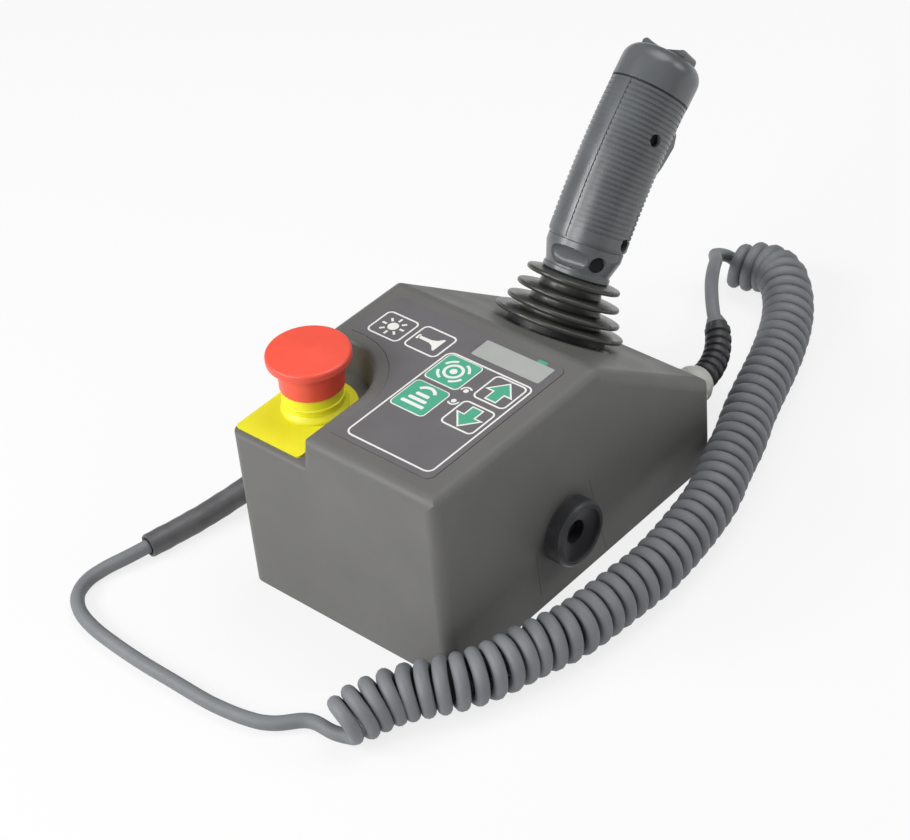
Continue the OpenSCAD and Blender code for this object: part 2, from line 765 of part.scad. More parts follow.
// Moulded housing with the stop pocket, the panel seat and all openings
module enclosure() {
  color(charcoal) difference() {
    union() {
      difference() {
        body_form();
        cavity();
        translate([0, 0, -over]) linear_extrude(height = ledge_z + over)
          rounded_box(body_w - 2 * cover_lip, body_l - 2 * cover_lip, edge_r - cover_lip);
      }
      at_bosses() translate([0, 0, ledge_z]) cylinder(d = boss_d, h = boss_h);
    }
    stop_pocket(0);
    pocket_rounding();
    at_bosses() cylinder(d = screw_d + 2 * run_gap, h = ledge_z + boss_h - wall);
    translate([stop_x, stop_y, floor_z]) wall_hole(barrel_d + 2 * hole_gap);
    translate([0, 0, overlay_z]) linear_extrude(height = overlay_seat + over) overlay_outline(seat_gap);
    translate([0, 0, window_z]) linear_extrude(height = window_t + over) window_outline(seat_gap);
    on_slope() wall_hole(stick_hole_d);
    on_slope() at_flange_screws() {
      flat_screw(wall + over, hole_gap);
      cylinder(d = screw_head_d + 2 * hole_gap, h = over);
    }
    on_side() wall_hole(sounder_stem_d + 2 * hole_gap);
    on_rear() wall_hole(gland_d + 2 * hole_gap);
  }
}

// Cover plate, flush with the base, its screw heads sunk
module bottom_cover() {
  color(charcoal) difference() {
    linear_extrude(height = cover_t) rounded_box(cover_w, cover_l, cover_r);
    at_bosses() translate([0, 0, -over]) cylinder(d = screw_d + 2 * hole_gap, h = cover_t + 2 * over);
    at_bosses() translate([0, 0, -over]) cylinder(d = screw_head_d + 2 * hole_gap, h = head_recess + over);
  }
}

// Flat gasket between the cover and the enclosure's ledge
module cover_gasket() {
  color(black) translate([0, 0, cover_t]) linear_extrude(height = gasket_t) difference() {
    rounded_box(cover_w, cover_l, cover_r);
    square([body_w - 2 * wall, body_l - 2 * wall], center = true);
  }
}

// Four screws that hold the cover, heads down
module cover_screws() {
  color(steel) at_bosses() translate([0, 0, head_sink]) {
    cylinder(d = screw_head_d, h = screw_head_h);
    cylinder(d = screw_d, h = screw_head_h + cover_screw_l);
  }
}

// Printed sheet with the sealed keys
module graphic_overlay() {
  color(grey) translate([0, 0, overlay_z]) linear_extrude(height = overlay_t) difference() {
    overlay_outline(0);
    window_outline(seat_gap);
  }
}

// Lens over the display
module display_window() {
  color(pale) translate([0, 0, window_z]) linear_extrude(height = window_t) window_outline(0);
}

// Legend plate on the pocket floor, square in front and round behind
module stop_plate() {
  half = plate_d / 2;
  front = -stop_back + sill_r + plate_back;
  color(yellow) translate([stop_x, stop_y, floor_z]) linear_extrude(height = plate_t) difference() {
    union() {
      circle(d = plate_d);
      rounded_outline([[-half, front], [half, front], [half, 0], [-half, 0]],
        [plate_corner_r, plate_corner_r, 0, 0]);
    }
    circle(d = barrel_d + 2 * hole_gap);
  }
}

// Collar with a flared foot, a bead and a band that the skirt slides over
module stop_collar() {
  bore_r = barrel_d / 2 + hole_gap;
  cup_r = barrel_flange_d / 2 + hole_gap;
  foot_r = collar_d / 2;
  foot_h = 1.4;
  flare_h = 3.2;
  color(yellow) translate([stop_x, stop_y, plate_z]) rotate_extrude() {
    rounded_outline([[bore_r, 0], [foot_r, 0], [foot_r, foot_h], [collar_band_r, flare_h],
      [collar_band_r, collar_h], [cup_r, collar_h], [cup_r, collar_base_t], [bore_r, collar_base_t]],
      [0, 0.4, 0.5, 0.8, 0.3, 0.3, 0, 0]);
    translate([collar_band_r, bead_z]) rounded_box(collar_bead, collar_bead, 0.48 * collar_bead);
  }
}

// Barrel through the collar, the plate and the pocket floor
module stop_barrel() {
  length = collar_floor_z - barrel_low_z + barrel_flange_t;
  color(grey) translate([stop_x, stop_y, barrel_low_z]) difference() {
    union() {
      cylinder(d = barrel_d, h = length);
      translate([0, 0, length - barrel_flange_t]) cylinder(d = barrel_flange_d, h = barrel_flange_t);
    }
    translate([0, 0, -over]) cylinder(d = plunger_d + 2 * run_gap, h = length + 2 * over);
  }
}

// Nut that clamps the barrel from inside
module stop_nut() {
  color(grey) translate([stop_x, stop_y, floor_z - wall - stop_nut_t]) difference() {
    hexagon(stop_nut_af, stop_nut_t);
    translate([0, 0, -over]) cylinder(d = barrel_d + 2 * run_gap, h = stop_nut_t + 2 * over);
  }
}

// Contact block on the end of the barrel, with its terminal slots
module stop_contacts() {
  slot_w = contact_w / 5;
  color(black) translate([stop_x, stop_y, barrel_low_z - contact_h]) difference() {
    linear_extrude(height = contact_h) rounded_box(contact_w, contact_l, 2);
    for (x = [-1, 1], y = [-1, 1])
      translate([x * contact_w / 4 - slot_w / 2, y * contact_l / 2 - slot_w, contact_h / 4])
        cube([slot_w, 2 * slot_w, contact_h / 3]);
  }
}

// Plunger that carries the head and works the contacts
module stop_plunger() {
  color(grey) translate([stop_x, stop_y, plunger_low_z])
    cylinder(d = plunger_d, h = plunger_top_z - plunger_low_z);
}

// Mushroom head with a hollow skirt, turned to release
module stop_head() {
  head_r = stop_head_d / 2;
  skirt_r = skirt_d / 2;
  top_z = head_z + head_h;
  color(red) translate([stop_x, stop_y, 0]) difference() {
    rotate_extrude() rounded_outline([[0, skirt_z], [skirt_r, skirt_z], [skirt_r, head_z],
      [head_r, head_z + head_flare], [head_r, top_z - head_crown], [0, top_z]], [0, 0.4, 1.5, 1, 1.4, 0]);
    translate([0, 0, skirt_z - over]) difference() {
      cylinder(d = skirt_d - 2 * skirt_t, h = skirt_h - skirt_t + over);
      translate([0, 0, over + hub_lift]) cylinder(d = plunger_d + 2 * hub_wall, h = skirt_h);
    }
    translate([0, 0, skirt_z - over])
      cylinder(d = plunger_d + 2 * run_gap, h = plunger_top_z - skirt_z + over);
  }
}

// Ring on the slope under the bellows, with a spigot in the slope's opening
module stick_flange() {
  color(black) on_slope() difference() {
    union() {
      cylinder(d = flange_d, h = flange_t);
      translate([0, 0, -wall]) cylinder(d = stick_hole_d - 2 * hole_gap, h = wall + flange_t);
    }
    translate([0, 0, -wall - over]) cylinder(d = flange_bore_d, h = wall + flange_t + 2 * over);
  }
}

// Four flat-headed screws through the slope into the housing
module flange_screws() {
  color(steel) on_slope() at_flange_screws() flat_screw(wall + housing_flange_t + screw_end, 0);
}

// Housing under the slope that carries the tilt axis
module stick_housing() {
  color(black) on_slope() difference() {
    union() {
      translate([0, 0, -wall - housing_flange_t]) cylinder(d = housing_flange_d, h = housing_flange_t);
      translate([0, 0, -wall - housing_h]) linear_extrude(height = housing_h)
        rounded_box(housing_w, housing_w, housing_r);
    }
    translate([0, 0, -wall - housing_h + housing_wall]) linear_extrude(height = housing_h)
      rounded_box(cavity_w, cavity_w, cavity_r);
    at_flange_screws() translate([0, 0, -wall - housing_flange_t - over])
      cylinder(d = screw_d + 2 * run_gap, h = housing_flange_t + 2 * over);
    translate([0, 0, -pivot_depth]) pin_x(pivot_d + 2 * run_gap, housing_w + 2 * over);
  }
}

// Pin across the housing that the joystick tilts on
module pivot_pin() {
  color(steel) on_slope() translate([0, 0, -pivot_depth]) pin_x(pivot_d, housing_w);
}

// Rod of the joystick, with the pivot eye, the centring stub and the leaning spigot
module stick_shaft() {
  stub = eye_d / 2 + stub_l;
  color(steel) difference() {
    union() {
      on_slope() translate([0, 0, -pivot_depth]) {
        pin_x(eye_d, eye_w);
        translate([0, 0, -stub]) cylinder(d = spigot_d, h = stub);
        cylinder(d = rod_d, h = pivot_depth + neck_z - over);
      }
      on_grip() translate([0, 0, -spigot_root]) cylinder(d = spigot_d, h = spigot_root + spigot_top);
    }
    on_slope() translate([0, 0, -pivot_depth]) pin_x(pivot_d + 2 * run_gap, eye_w + 2 * over);
  }
}

// Rubber bellows with round-edged folds, trimmed to the lean of the grip
module bellows() {
  last = fold_n - 1;
  root = fold_root_t / 2;
  tip = fold_tip_t / 2;
  tip_r = 0.95 * tip;
  top = neck_z + bellows_top_d / 2 * tan(grip_lean) + over;
  top_r = bellows_top_d / 2;
  rise = fold_high_z - fold_low_z;
  narrowing = fold_low_d - fold_high_d;
  heights = [for (i = [0 : last]) fold_low_z + rise * pow(i / last, fold_crowd)];
  widths = [for (i = [0 : last]) fold_low_d - narrowing * pow(i / last, fold_flare)];
  folds = [for (i = [0 : last]) let (z = heights[i], r = widths[i] / 2)
    each [[i == 0 ? flange_d / 2 : core_r(z - root), z - root], [r, z - tip], [r, z + tip],
      [i == last ? top_r : core_r(z + root), z + root]]];
  fold_radii = [for (z = heights) each [0, tip_r, tip_r, 0]];
  color(black) difference() {
    on_slope() rotate_extrude() rounded_outline(
      concat([[core_r(flange_top) - bellows_t, flange_top], [flange_d / 2, flange_top]], folds,
        [[top_r, neck_z], [top_r, top], [top_r - bellows_t, top], [top_r - bellows_t, neck_z],
          [core_r(waist_z) - bellows_t, waist_z]]),
      concat([0, 0], fold_radii, [0, 0, 0, 0, 0]));
    on_grip() translate([0, 0, bellows_h / 2]) cube([fold_low_d, fold_low_d, bellows_h], center = true);
  }
}

// Place of the screw well in the grip's collar, Z outward from the bottom of the well
module at_neck_well() {
  rotate([0, 0, neck_well_turn]) translate([grip_d / 2 - neck_in - neck_well_l, 0, neck_well_z])
    rotate([0, 90, 0]) children();
}

// Plain collar at the foot of the grip, with a thumb recess and a screw well
module grip_collar() {
  r = grip_d / 2 - neck_in;
  foot = bellows_top_d / 2 + neck_step;
  bore = grip_bore_d / 2;
  waist = neck_lip_h + neck_groove;
  shoulder = 0.7 * neck_h;
  edge = r - rib_depth;
  color(black) on_grip() difference() {
    rotate_extrude() rounded_outline([[bore, 0], [foot + neck_lip, 0], [foot + neck_lip, neck_lip_h],
      [foot, neck_lip_h], [foot, waist], [r, shoulder], [r, neck_h - neck_groove],
      [edge, neck_h - neck_groove], [edge, neck_h], [bore, neck_h]], [0, 0.5, 0.5, 0, 0, 4, 0.4, 0, 0, 0]);
    translate([0, -r - over, recess_z]) rotate([-90, 0, 0]) linear_extrude(height = recess_d + over)
      rounded_box(recess_w, recess_h, 0.49 * recess_h);
    at_neck_well() cylinder(d = neck_well_d, h = neck_well_l + over);
  }
}

// Stretch of a bent grip half between two lengths: its outline has the front on +X, the left on +Y
module grip_stretch(low, high) {
  translate([0, bend_r, shell_z]) rotate([90, 0, -90]) rotate([0, 0, bend_at(low)])
    rotate_extrude(angle = bend_at(high - low), $fn = 1440) translate([bend_r, 0]) children();
}

// Half disc of a grip shell, on the left for side 1 and the right for side -1, bevelled at the seam
module half_disc(r, side) {
  intersection() {
    circle(r = r, $fn = 64);
    polygon([[-r + seam_v, 0], [r - seam_v, 0], [r + seam_v, side * 2 * seam_v], [2 * r, side * 2 * r],
      [-2 * r, side * 2 * r], [-r - seam_v, side * 2 * seam_v]]);
  }
}

// Ribbed shell of one side, before its cuts
module grip_shell(side) {
  r = grip_d / 2;
  ribs = floor((grip_h - band_h) / rib_pitch);
  grip_stretch(0, grip_h) half_disc(r - rib_depth, side);
  grip_stretch(neck_groove, band_h) half_disc(r, side);
  for (i = [1 : ribs]) {
    top = band_h + i * rib_pitch;
    grip_stretch(top - rib_land, top) half_disc(r, side);
  }
}

// Smooth strip of the left shell, beside the front seam
module grip_strip() {
  r = grip_d / 2 - strip_drop;
  ribs = floor((grip_h - band_h) / rib_pitch);
  grip_stretch(band_h, band_h + ribs * rib_pitch) intersection() {
    half_disc(r, 1);
    polygon([[0, 0], [2 * r, 0], 2 * r * [cos(strip_angle), sin(strip_angle)]]);
  }
}

// Places of the two screw wells in the right shell, Z outward from the bottom of each well
module at_grip_wells() {
  for (place = [[well_high, well_high_turn], [well_low, well_low_turn]])
    along_grip(place[0]) rotate([0, 0, place[1]]) translate([grip_d / 2 - grip_well_l, 0, 0])
      rotate([0, 90, 0]) children();
}

// Cuts in the grip: the rod's bore, the trigger's bay and pin, and the screw wells
module grip_cuts() {
  bay_w = trigger_w + 2 * move_gap;
  bay_h = trigger_h + trigger_top + 2 * bay_end - move_gap;
  bay_low = -trigger_drop - trigger_h - bay_end;
  translate([0, 0, shell_z - over]) cylinder(d = grip_bore_d, h = spigot_top - shell_z + 2 * over);
  along_grip(grip_h) {
    translate([-bay_w / 2, trigger_y - bay_depth, bay_low]) cube([bay_w, grip_d / 2, bay_h]);
    translate([0, trigger_y, -trigger_drop]) pin_x(small_pin_d + 2 * run_gap, trigger_pin_l);
  }
  at_grip_wells() cylinder(d = grip_well_d, h = grip_well_l + over);
}

// Left half of the grip
module grip_left() {
  color(black) on_grip() difference() {
    union() {
      grip_shell(1);
      grip_strip();
    }
    grip_cuts();
  }
}

// Right half of the grip
module grip_right() {
  color(black) on_grip() difference() {
    grip_shell(-1);
    grip_cuts();
  }
}

// Screw heads at the bottom of the grip's wells and the collar's well
module grip_screws() {
  color(steel) on_grip() {
    at_grip_wells() cylinder(d = grip_well_d - 2 * head_gap, h = grip_head_h);
    at_neck_well() cylinder(d = neck_well_d - 2 * head_gap, h = grip_head_h);
  }
}

// Domed cap with the rocker's slot
module grip_cap() {
  r = grip_d / 2 + cap_over;
  edge = r - cap_groove;
  slot_half = rocker_half * cos(rocker_tilt) + rocker_rise * sin(rocker_tilt) + move_gap;
  slot_w = rocker_w + 2 * move_gap;
  slot_z = rocker_z - rocker_keel * cos(rocker_tilt) - rocker_keel_w * sin(rocker_tilt) - 2 * move_gap;
  color(black) on_cap() difference() {
    rotate_extrude() rounded_outline([[0, 0], [edge, 0], [edge, cap_groove], [r, cap_groove],
      [r, cap_h - cap_crown], [0, cap_h]], [0, 0, 0, 0.3, cap_r, 0]);
    translate([-slot_half, -slot_w / 2, slot_z]) cube([2 * slot_half, slot_w, cap_h]);
    translate([0, 0, rocker_z]) pin_y(small_pin_d + 2 * run_gap, rocker_pin_l);
  }
}

// Pin of the thumb rocker
module rocker_pin() {
  color(steel) on_cap() translate([0, 0, rocker_z]) pin_y(small_pin_d, rocker_pin_l);
}

// Saddle-shaped thumb rocker
module thumb_rocker() {
  half = rocker_half;
  rise = rocker_rise;
  color(grey) on_cap() translate([0, 0, rocker_z]) difference() {
    along_y(rocker_w) rounded_outline([[-rocker_keel_w, -rocker_keel], [rocker_keel_w, -rocker_keel],
      [half - 0.5, 0.5], [half, rise], [0.6 * half, 0.74 * rise], [0, 0.5 * rise],
      [-0.6 * half, 0.74 * rise], [-half, rise], [-half + 0.5, 0.5]], [1.5, 1.5, 1, 2, 4, 6, 4, 2, 1]);
    pin_y(small_pin_d + 2 * run_gap, rocker_w + 2 * over);
  }
}

// Pin of the trigger
module trigger_pin() {
  color(steel) on_cap() translate([0, trigger_y, -trigger_drop]) pin_x(small_pin_d, trigger_pin_l);
}

// Trigger with a humped finger face
module trigger() {
  reach = trigger_reach;
  low = -trigger_h;
  color(black) on_cap() translate([0, trigger_y, -trigger_drop]) difference() {
    along_x(trigger_w) rounded_outline([[-trigger_back, low], [0.45 * reach, low],
      [0.9 * reach, 0.45 * low], [reach, 0.06 * low], [0.8 * reach, trigger_top],
      [-2 * trigger_back, trigger_top]], [2, 3, 8, 4, 3, 2]);
    pin_x(small_pin_d + 2 * run_gap, trigger_w + 2 * over);
  }
}

// Sounder stem with its dished face
module sounder_body() {
  face_z = sounder_h - dish_lip;
  stem = wall + sounder_stem_l;
  dish_r = sounder_face_r - 0.4;
  dish_top = dish_depth + over;
  color(black) on_side() difference() {
    union() {
      translate([0, 0, -stem]) cylinder(d = sounder_stem_d, h = stem + face_z);
      cylinder(r = sounder_face_r, h = face_z);
    }
    translate([0, 0, face_z - dish_depth]) rotate_extrude()
      polygon([[0, 0], [sound_hole_d / 2, 0], [dish_r, dish_depth], [dish_r, dish_top], [0, dish_top]]);
    translate([0, 0, sounder_h - sound_hole_l]) cylinder(d = sound_hole_d, h = sound_hole_l);
  }
}

// Ring that screws down over the sounder's face
module sounder_ring() {
  r = sounder_d / 2;
  bore = sounder_face_r + run_gap;
  lip = sounder_face_r - ring_lip;
  face_z = sounder_h - dish_lip;
  color(black) on_side() rotate_extrude() rounded_outline([[bore, 0], [r, 0], [r, sounder_h - ring_bevel],
    [r - ring_bevel, sounder_h], [lip, sounder_h], [lip, face_z], [bore, face_z]],
    [0, 0.4, 0.5, 0.5, 0.4, 0, 0]);
}

// Nut on the sounder's stem inside the wall
module sounder_nut() {
  color(grey) on_side() translate([0, 0, -wall - sounder_nut_t]) difference() {
    hexagon(sounder_nut_af, sounder_nut_t);
    translate([0, 0, -over]) cylinder(d = sounder_stem_d + 2 * run_gap, h = sounder_nut_t + 2 * over);
  }
}

// Gland body through the rear wall
module gland_body() {
  color(pale) on_rear() difference() {
    union() {
      hexagon(gland_af, gland_hex_t);
      translate([0, 0, -gland_low]) cylinder(d = gland_d, h = gland_low);
    }
    translate([0, 0, -gland_low - over]) cylinder(d = gland_bore_d, h = gland_low + gland_hex_t + 2 * over);
  }
}

// Domed nut of the gland
module gland_nut() {
  r = gland_af / 2;
  bore = gland_bore_d / 2;
  color(pale) on_rear() translate([0, 0, gland_hex_t]) rotate_extrude() rounded_outline(
    [[bore, 0], [r, 0], [r, gland_nut_t / 2], [r - gland_dome, gland_nut_t], [bore, gland_nut_t]],
    [0, 0.6, 2, 1.5, 0]);
}

// Locknut inside the rear wall
module gland_locknut() {
  color(pale) on_rear() translate([0, 0, -wall - locknut_t]) difference() {
    hexagon(locknut_af, locknut_t);
    translate([0, 0, -over]) cylinder(d = gland_d + 2 * run_gap, h = locknut_t + 2 * over);
  }
}

// Ribbed strain relief, bent in one arc
module strain_relief() {
  pitch = relief_turn / (relief_ribs + 0.6);
  color(black) translate(relief_start) rotate([0, relief_roll, 0]) translate([-relief_bend_r, 0, 0]) {
    rotate_extrude(angle = relief_turn) translate([relief_bend_r, 0]) circle(d = relief_d);
    for (i = [0 : relief_ribs - 1]) {
      rib_d = relief_d + 2 * relief_rib_h - relief_rib_fall * i;
      rotate([0, 0, pitch * (i + 0.6)]) translate([relief_bend_r, 0, 0]) rotate([-90, 0, 0])
        cylinder(d1 = rib_d, d2 = rib_d - 1, h = relief_rib_t);
    }
  }
}

// Plain stretch of cord from the gland to the coil
module cord_lead() {
  color(cord_grey) swept_tube(lead_route, cord_d);
}

// Outer form of the coiled stretch
module cord_coil() {
  color(cord_grey) swept_tube(coil_route, coil_d);
}

// Plain stretch of cord from the coil to the sleeve
module cord_tail() {
  color(cord_grey) swept_tube(tail_route, cord_d);
}

// Shrink sleeve behind the plug
module cord_sleeve() {
  color(black) swept_tube(sleeve_route, sleeve_d);
}

// Shell of the plug, with a raised finger band
module plug_shell() {
  r = plug_d / 2;
  grip_r = r - plug_band_h;
  tail_r = sleeve_d / 2 + 1;
  nose_z = plug_l - plug_nose_l;
  band_z = nose_z - plug_band_l;
  color(grey) on_plug() difference() {
    rotate_extrude() rounded_outline(
      [[0, 0], [tail_r, 0], [tail_r, 2], [grip_r, plug_taper_l], [grip_r, band_z], [r, band_z], [r, nose_z],
        [grip_r, nose_z], [grip_r, plug_l], [0, plug_l]],
      [0, 0.5, 2, 3, 0, 0.6, 0.6, 0, 0.5, 0]);
    translate([0, 0, plug_l - insert_l]) cylinder(d = insert_d + 2 * run_gap, h = insert_l + over);
  }
}

// Insulating insert that holds the pins, flush with the shell's end
module plug_insert() {
  color(black) on_plug() translate([0, 0, plug_l - insert_l]) cylinder(d = insert_d, h = insert_l);
}

// Contact pins of the plug
module plug_pins() {
  color(steel) on_plug() translate([0, 0, plug_l])
    for (i = [0 : plug_pin_n - 1])
      rotate([0, 0, 360 * i / plug_pin_n]) translate([plug_pin_pcd / 2, 0, 0])
        cylinder(d = plug_pin_d, h = plug_pin_l);
}

enclosure();
bottom_cover();
cover_gasket();
cover_screws();
graphic_overlay();
display_window();
stop_plate();
stop_collar();
stop_barrel();
stop_nut();
stop_contacts();
stop_plunger();
stop_head();
stick_flange();
flange_screws();
stick_housing();
pivot_pin();
stick_shaft();
bellows();
grip_collar();
grip_left();
grip_right();
grip_screws();
grip_cap();
rocker_pin();
thumb_rocker();
trigger_pin();
trigger();
sounder_body();
sounder_ring();
sounder_nut();
gland_body();
gland_nut();
gland_locknut();
strain_relief();
cord_lead();
cord_coil();
cord_tail();
cord_sleeve();
plug_shell();
plug_insert();
plug_pins();
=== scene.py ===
"""Looks of a control box with a stop button, a joystick and a coiled cord.

Blender works in metres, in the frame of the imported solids: +X is the operator's
right, +Y points away from the operator, +Z is up, and the base stands on Z = 0.
Named sizes and places are in millimetres, unless a comment says otherwise.
"""
import math

import bmesh
import bpy
from mathutils import Matrix, Vector


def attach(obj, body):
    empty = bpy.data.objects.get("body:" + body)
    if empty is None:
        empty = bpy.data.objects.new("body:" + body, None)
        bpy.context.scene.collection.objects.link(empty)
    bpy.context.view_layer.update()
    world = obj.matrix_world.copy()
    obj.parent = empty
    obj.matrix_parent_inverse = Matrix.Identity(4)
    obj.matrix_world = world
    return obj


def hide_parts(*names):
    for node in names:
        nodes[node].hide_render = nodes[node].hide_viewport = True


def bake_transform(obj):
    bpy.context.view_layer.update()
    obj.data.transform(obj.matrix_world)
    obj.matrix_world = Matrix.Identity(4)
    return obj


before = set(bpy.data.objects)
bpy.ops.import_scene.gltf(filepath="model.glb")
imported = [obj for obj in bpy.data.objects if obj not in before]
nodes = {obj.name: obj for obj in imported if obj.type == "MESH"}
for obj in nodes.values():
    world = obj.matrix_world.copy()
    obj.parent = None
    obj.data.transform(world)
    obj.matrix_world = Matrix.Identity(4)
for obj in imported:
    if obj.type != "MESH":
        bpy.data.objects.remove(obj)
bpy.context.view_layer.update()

MM = 0.001
UP = Vector((0, 0, 1))

# Sizes of the housing and the joystick
FRONT_Y = -99.0
RIGHT_X = 63.0
PANEL_TOP = 106.2
RIDGE = (17.0, 106.0)
SLOPE_FOOT = (99.0, 48.0)
STICK_DOWN = 2.0
FLANGE_T = 3.0
NECK_Z = 29.0
NECK_H = 17.0
GRIP_R = 19.6
GRIP_H = 76.5
GRIP_LEAN = math.radians(1)
GRIP_BEND = math.radians(13)
GRIP_BEND_R = GRIP_H / GRIP_BEND
SOUNDER = (-14.0, 34.5)

# Frames of the slanted face at the joystick, the foot of the grip, the cap, the right wall and the panel
slope_angle = math.atan2(RIDGE[1] - SLOPE_FOOT[1], SLOPE_FOOT[0] - RIDGE[0])
slope_middle = Vector((0, (RIDGE[0] + SLOPE_FOOT[0]) / 2, (RIDGE[1] + SLOPE_FOOT[1]) / 2)) * MM
on_slope = (Matrix.Translation(slope_middle) @ Matrix.Rotation(-slope_angle, 4, "X")
            @ Matrix.Translation((0, STICK_DOWN * MM, 0)))
on_grip = on_slope @ Matrix.Translation((0, 0, NECK_Z * MM)) @ Matrix.Rotation(-GRIP_LEAN, 4, "X")
on_cap = (on_grip @ Matrix.Translation(Vector((0, GRIP_BEND_R * (1 - math.cos(GRIP_BEND)),
                                               NECK_H + GRIP_BEND_R * math.sin(GRIP_BEND))) * MM)
          @ Matrix.Rotation(-GRIP_BEND, 4, "X"))
on_side = Matrix.Translation(Vector((RIGHT_X, *SOUNDER)) * MM) @ Matrix.Rotation(math.pi / 2, 4, "Y")
on_panel = Matrix.Translation(Vector((0, FRONT_Y, PANEL_TOP)) * MM)


# Camera at the photograph's viewpoint, for a frame of 910 x 840 pixels, with its place in metres
FRAME_W = 910
FOCAL_PIXELS = 2500
SENSOR = 36.0
CAMERA_EYE = Vector((0.63707, -0.67320, 0.78948))
CAMERA_FORWARD = Vector((-0.54727, 0.56464, -0.61780))
CAMERA_ROLL = math.radians(-5.59)


def place_camera():
    data = bpy.data.cameras.new("camera")
    data.sensor_width = SENSOR
    data.lens = FOCAL_PIXELS / FRAME_W * SENSOR
    camera = bpy.data.objects.new("camera", data)
    turn = CAMERA_FORWARD.to_track_quat("-Z", "Y").to_matrix().to_4x4()
    roll = Matrix.Rotation(CAMERA_ROLL, 4, "Z")
    camera.matrix_world = Matrix.Translation(CAMERA_EYE) @ turn @ roll
    bpy.context.scene.collection.objects.link(camera)
    bpy.context.scene.camera = camera


place_camera()


# Materials: each has its own colour drift, roughness drift and surface grain
NOISE_LOW = 0.3
NOISE_HIGH = 0.7
SOFT_DETAIL = 3.0
GRAIN_DETAIL = 2.0
ROUGHNESS_PATCH = 2.3


def add_node(tree, kind, **values):
    """A shader node with its settings and inputs set by name."""
    made = tree.nodes.new(kind)
    for key, value in values.items():
        if hasattr(made, key):
            setattr(made, key, value)
        else:
            made.inputs[key.replace("_", " ")].default_value = value
    return made


def drift(tree, coords, scale, low, high, detail=SOFT_DETAIL):
    """Noise over the surface, brought to the range low to high."""
    noise = add_node(tree, "ShaderNodeTexNoise", Scale=scale, Detail=detail)
    tree.links.new(coords, noise.inputs["Vector"])
    ranged = add_node(tree, "ShaderNodeMapRange", From_Min=NOISE_LOW, From_Max=NOISE_HIGH,
                      To_Min=low, To_Max=high)
    tree.links.new(noise.outputs["Fac"], ranged.inputs["Value"])
    return ranged.outputs["Result"]


def surface(name, colour, shade, roughness, patch, grain, depth, metallic=0.0, specular=0.5):
    """A finish whose colour drifts to a darker shade, with a fine grain in its relief.

    The scales of its patches and its grain are per metre, and depth is the grain's height.
    """
    material = bpy.data.materials.new(name)
    material.use_nodes = True
    tree = material.node_tree
    shader = tree.nodes["Principled BSDF"]
    shader.inputs["Metallic"].default_value = metallic
    shader.inputs["Specular IOR Level"].default_value = specular
    place = add_node(tree, "ShaderNodeTexCoord").outputs["Object"]
    mix = add_node(tree, "ShaderNodeMix", data_type="RGBA")
    mix.inputs["A"].default_value = (*[c * shade for c in colour], 1)
    mix.inputs["B"].default_value = (*colour, 1)
    tree.links.new(drift(tree, place, patch, 0, 1), mix.inputs["Factor"])
    tree.links.new(mix.outputs["Result"], shader.inputs["Base Color"])
    tree.links.new(drift(tree, place, patch * ROUGHNESS_PATCH, *roughness), shader.inputs["Roughness"])
    bump = add_node(tree, "ShaderNodeBump", Strength=1.0, Distance=depth * MM)
    tree.links.new(drift(tree, place, grain, 0, 1, detail=GRAIN_DETAIL), bump.inputs["Height"])
    tree.links.new(bump.outputs["Normal"], shader.inputs["Normal"])
    return material


housing = surface("housing_plastic", (0.155, 0.154, 0.149), shade=0.88, roughness=(0.4, 0.5),
                  patch=20, grain=1500, depth=0.04, specular=0.26)
film = surface("overlay_film", (0.142, 0.136, 0.142), shade=0.92, roughness=(0.45, 0.55),
               patch=60, grain=4000, depth=0.008)
black_plastic = surface("black_plastic", (0.042, 0.043, 0.047), shade=0.8, roughness=(0.38, 0.5),
                        patch=60, grain=1800, depth=0.02)
grip_plastic = surface("grip_plastic", (0.126, 0.135, 0.141), shade=0.8, roughness=(0.26, 0.36),
                       patch=50, grain=2500, depth=0.004, specular=0.6)
rubber = surface("bellows_rubber", (0.058, 0.06, 0.053), shade=0.75, roughness=(0.26, 0.36),
                 patch=90, grain=1500, depth=0.015)
cord_sheath = surface("cord_sheath", (0.208, 0.217, 0.232), shade=0.86, roughness=(0.5, 0.62),
                      patch=70, grain=2600, depth=0.015)
shrink = surface("shrink_sleeve", (0.125, 0.125, 0.13), shade=0.7, roughness=(0.4, 0.55),
                 patch=120, grain=900, depth=0.04)
red_plastic = surface("red_plastic", (0.9, 0.1, 0.06), shade=0.93, roughness=(0.34, 0.42),
                      patch=60, grain=2400, depth=0.008)
yellow_plastic = surface("yellow_plastic", (0.88, 0.85, 0.03), shade=0.94, roughness=(0.36, 0.46),
                         patch=60, grain=2400, depth=0.008)
grey_plastic = surface("grey_plastic", (0.42, 0.43, 0.43), shade=0.88, roughness=(0.4, 0.5),
                       patch=60, grain=2000, depth=0.01)
pale_plastic = surface("pale_plastic", (0.58, 0.58, 0.55), shade=0.9, roughness=(0.4, 0.5),
                       patch=60, grain=2000, depth=0.01)
lens = surface("window_lens", (0.42, 0.435, 0.42), shade=0.93, roughness=(0.2, 0.28),
               patch=60, grain=3000, depth=0.003)
steel = surface("screw_steel", (0.6, 0.6, 0.58), shade=0.85, roughness=(0.25, 0.4),
                patch=300, grain=3000, depth=0.005, metallic=1.0)
# Near-black steel for the rocker and trigger pins; on the grip screws the same near-black is also painted
# shade for their dark screw wells
dark_steel_and_well_shade = surface("dark_steel_painted_well_shade", (0.01, 0.01, 0.011), shade=0.8, roughness=(0.4, 0.5),
                     patch=300, grain=3000, depth=0.005, specular=0.2)
white_ink = surface("white_ink", (0.82, 0.82, 0.8), shade=0.95, roughness=(0.5, 0.6),
                    patch=200, grain=4000, depth=0.004)
green_ink = surface("green_ink", (0.075, 0.4, 0.25), shade=0.92, roughness=(0.5, 0.6),
                    patch=200, grain=4000, depth=0.004)
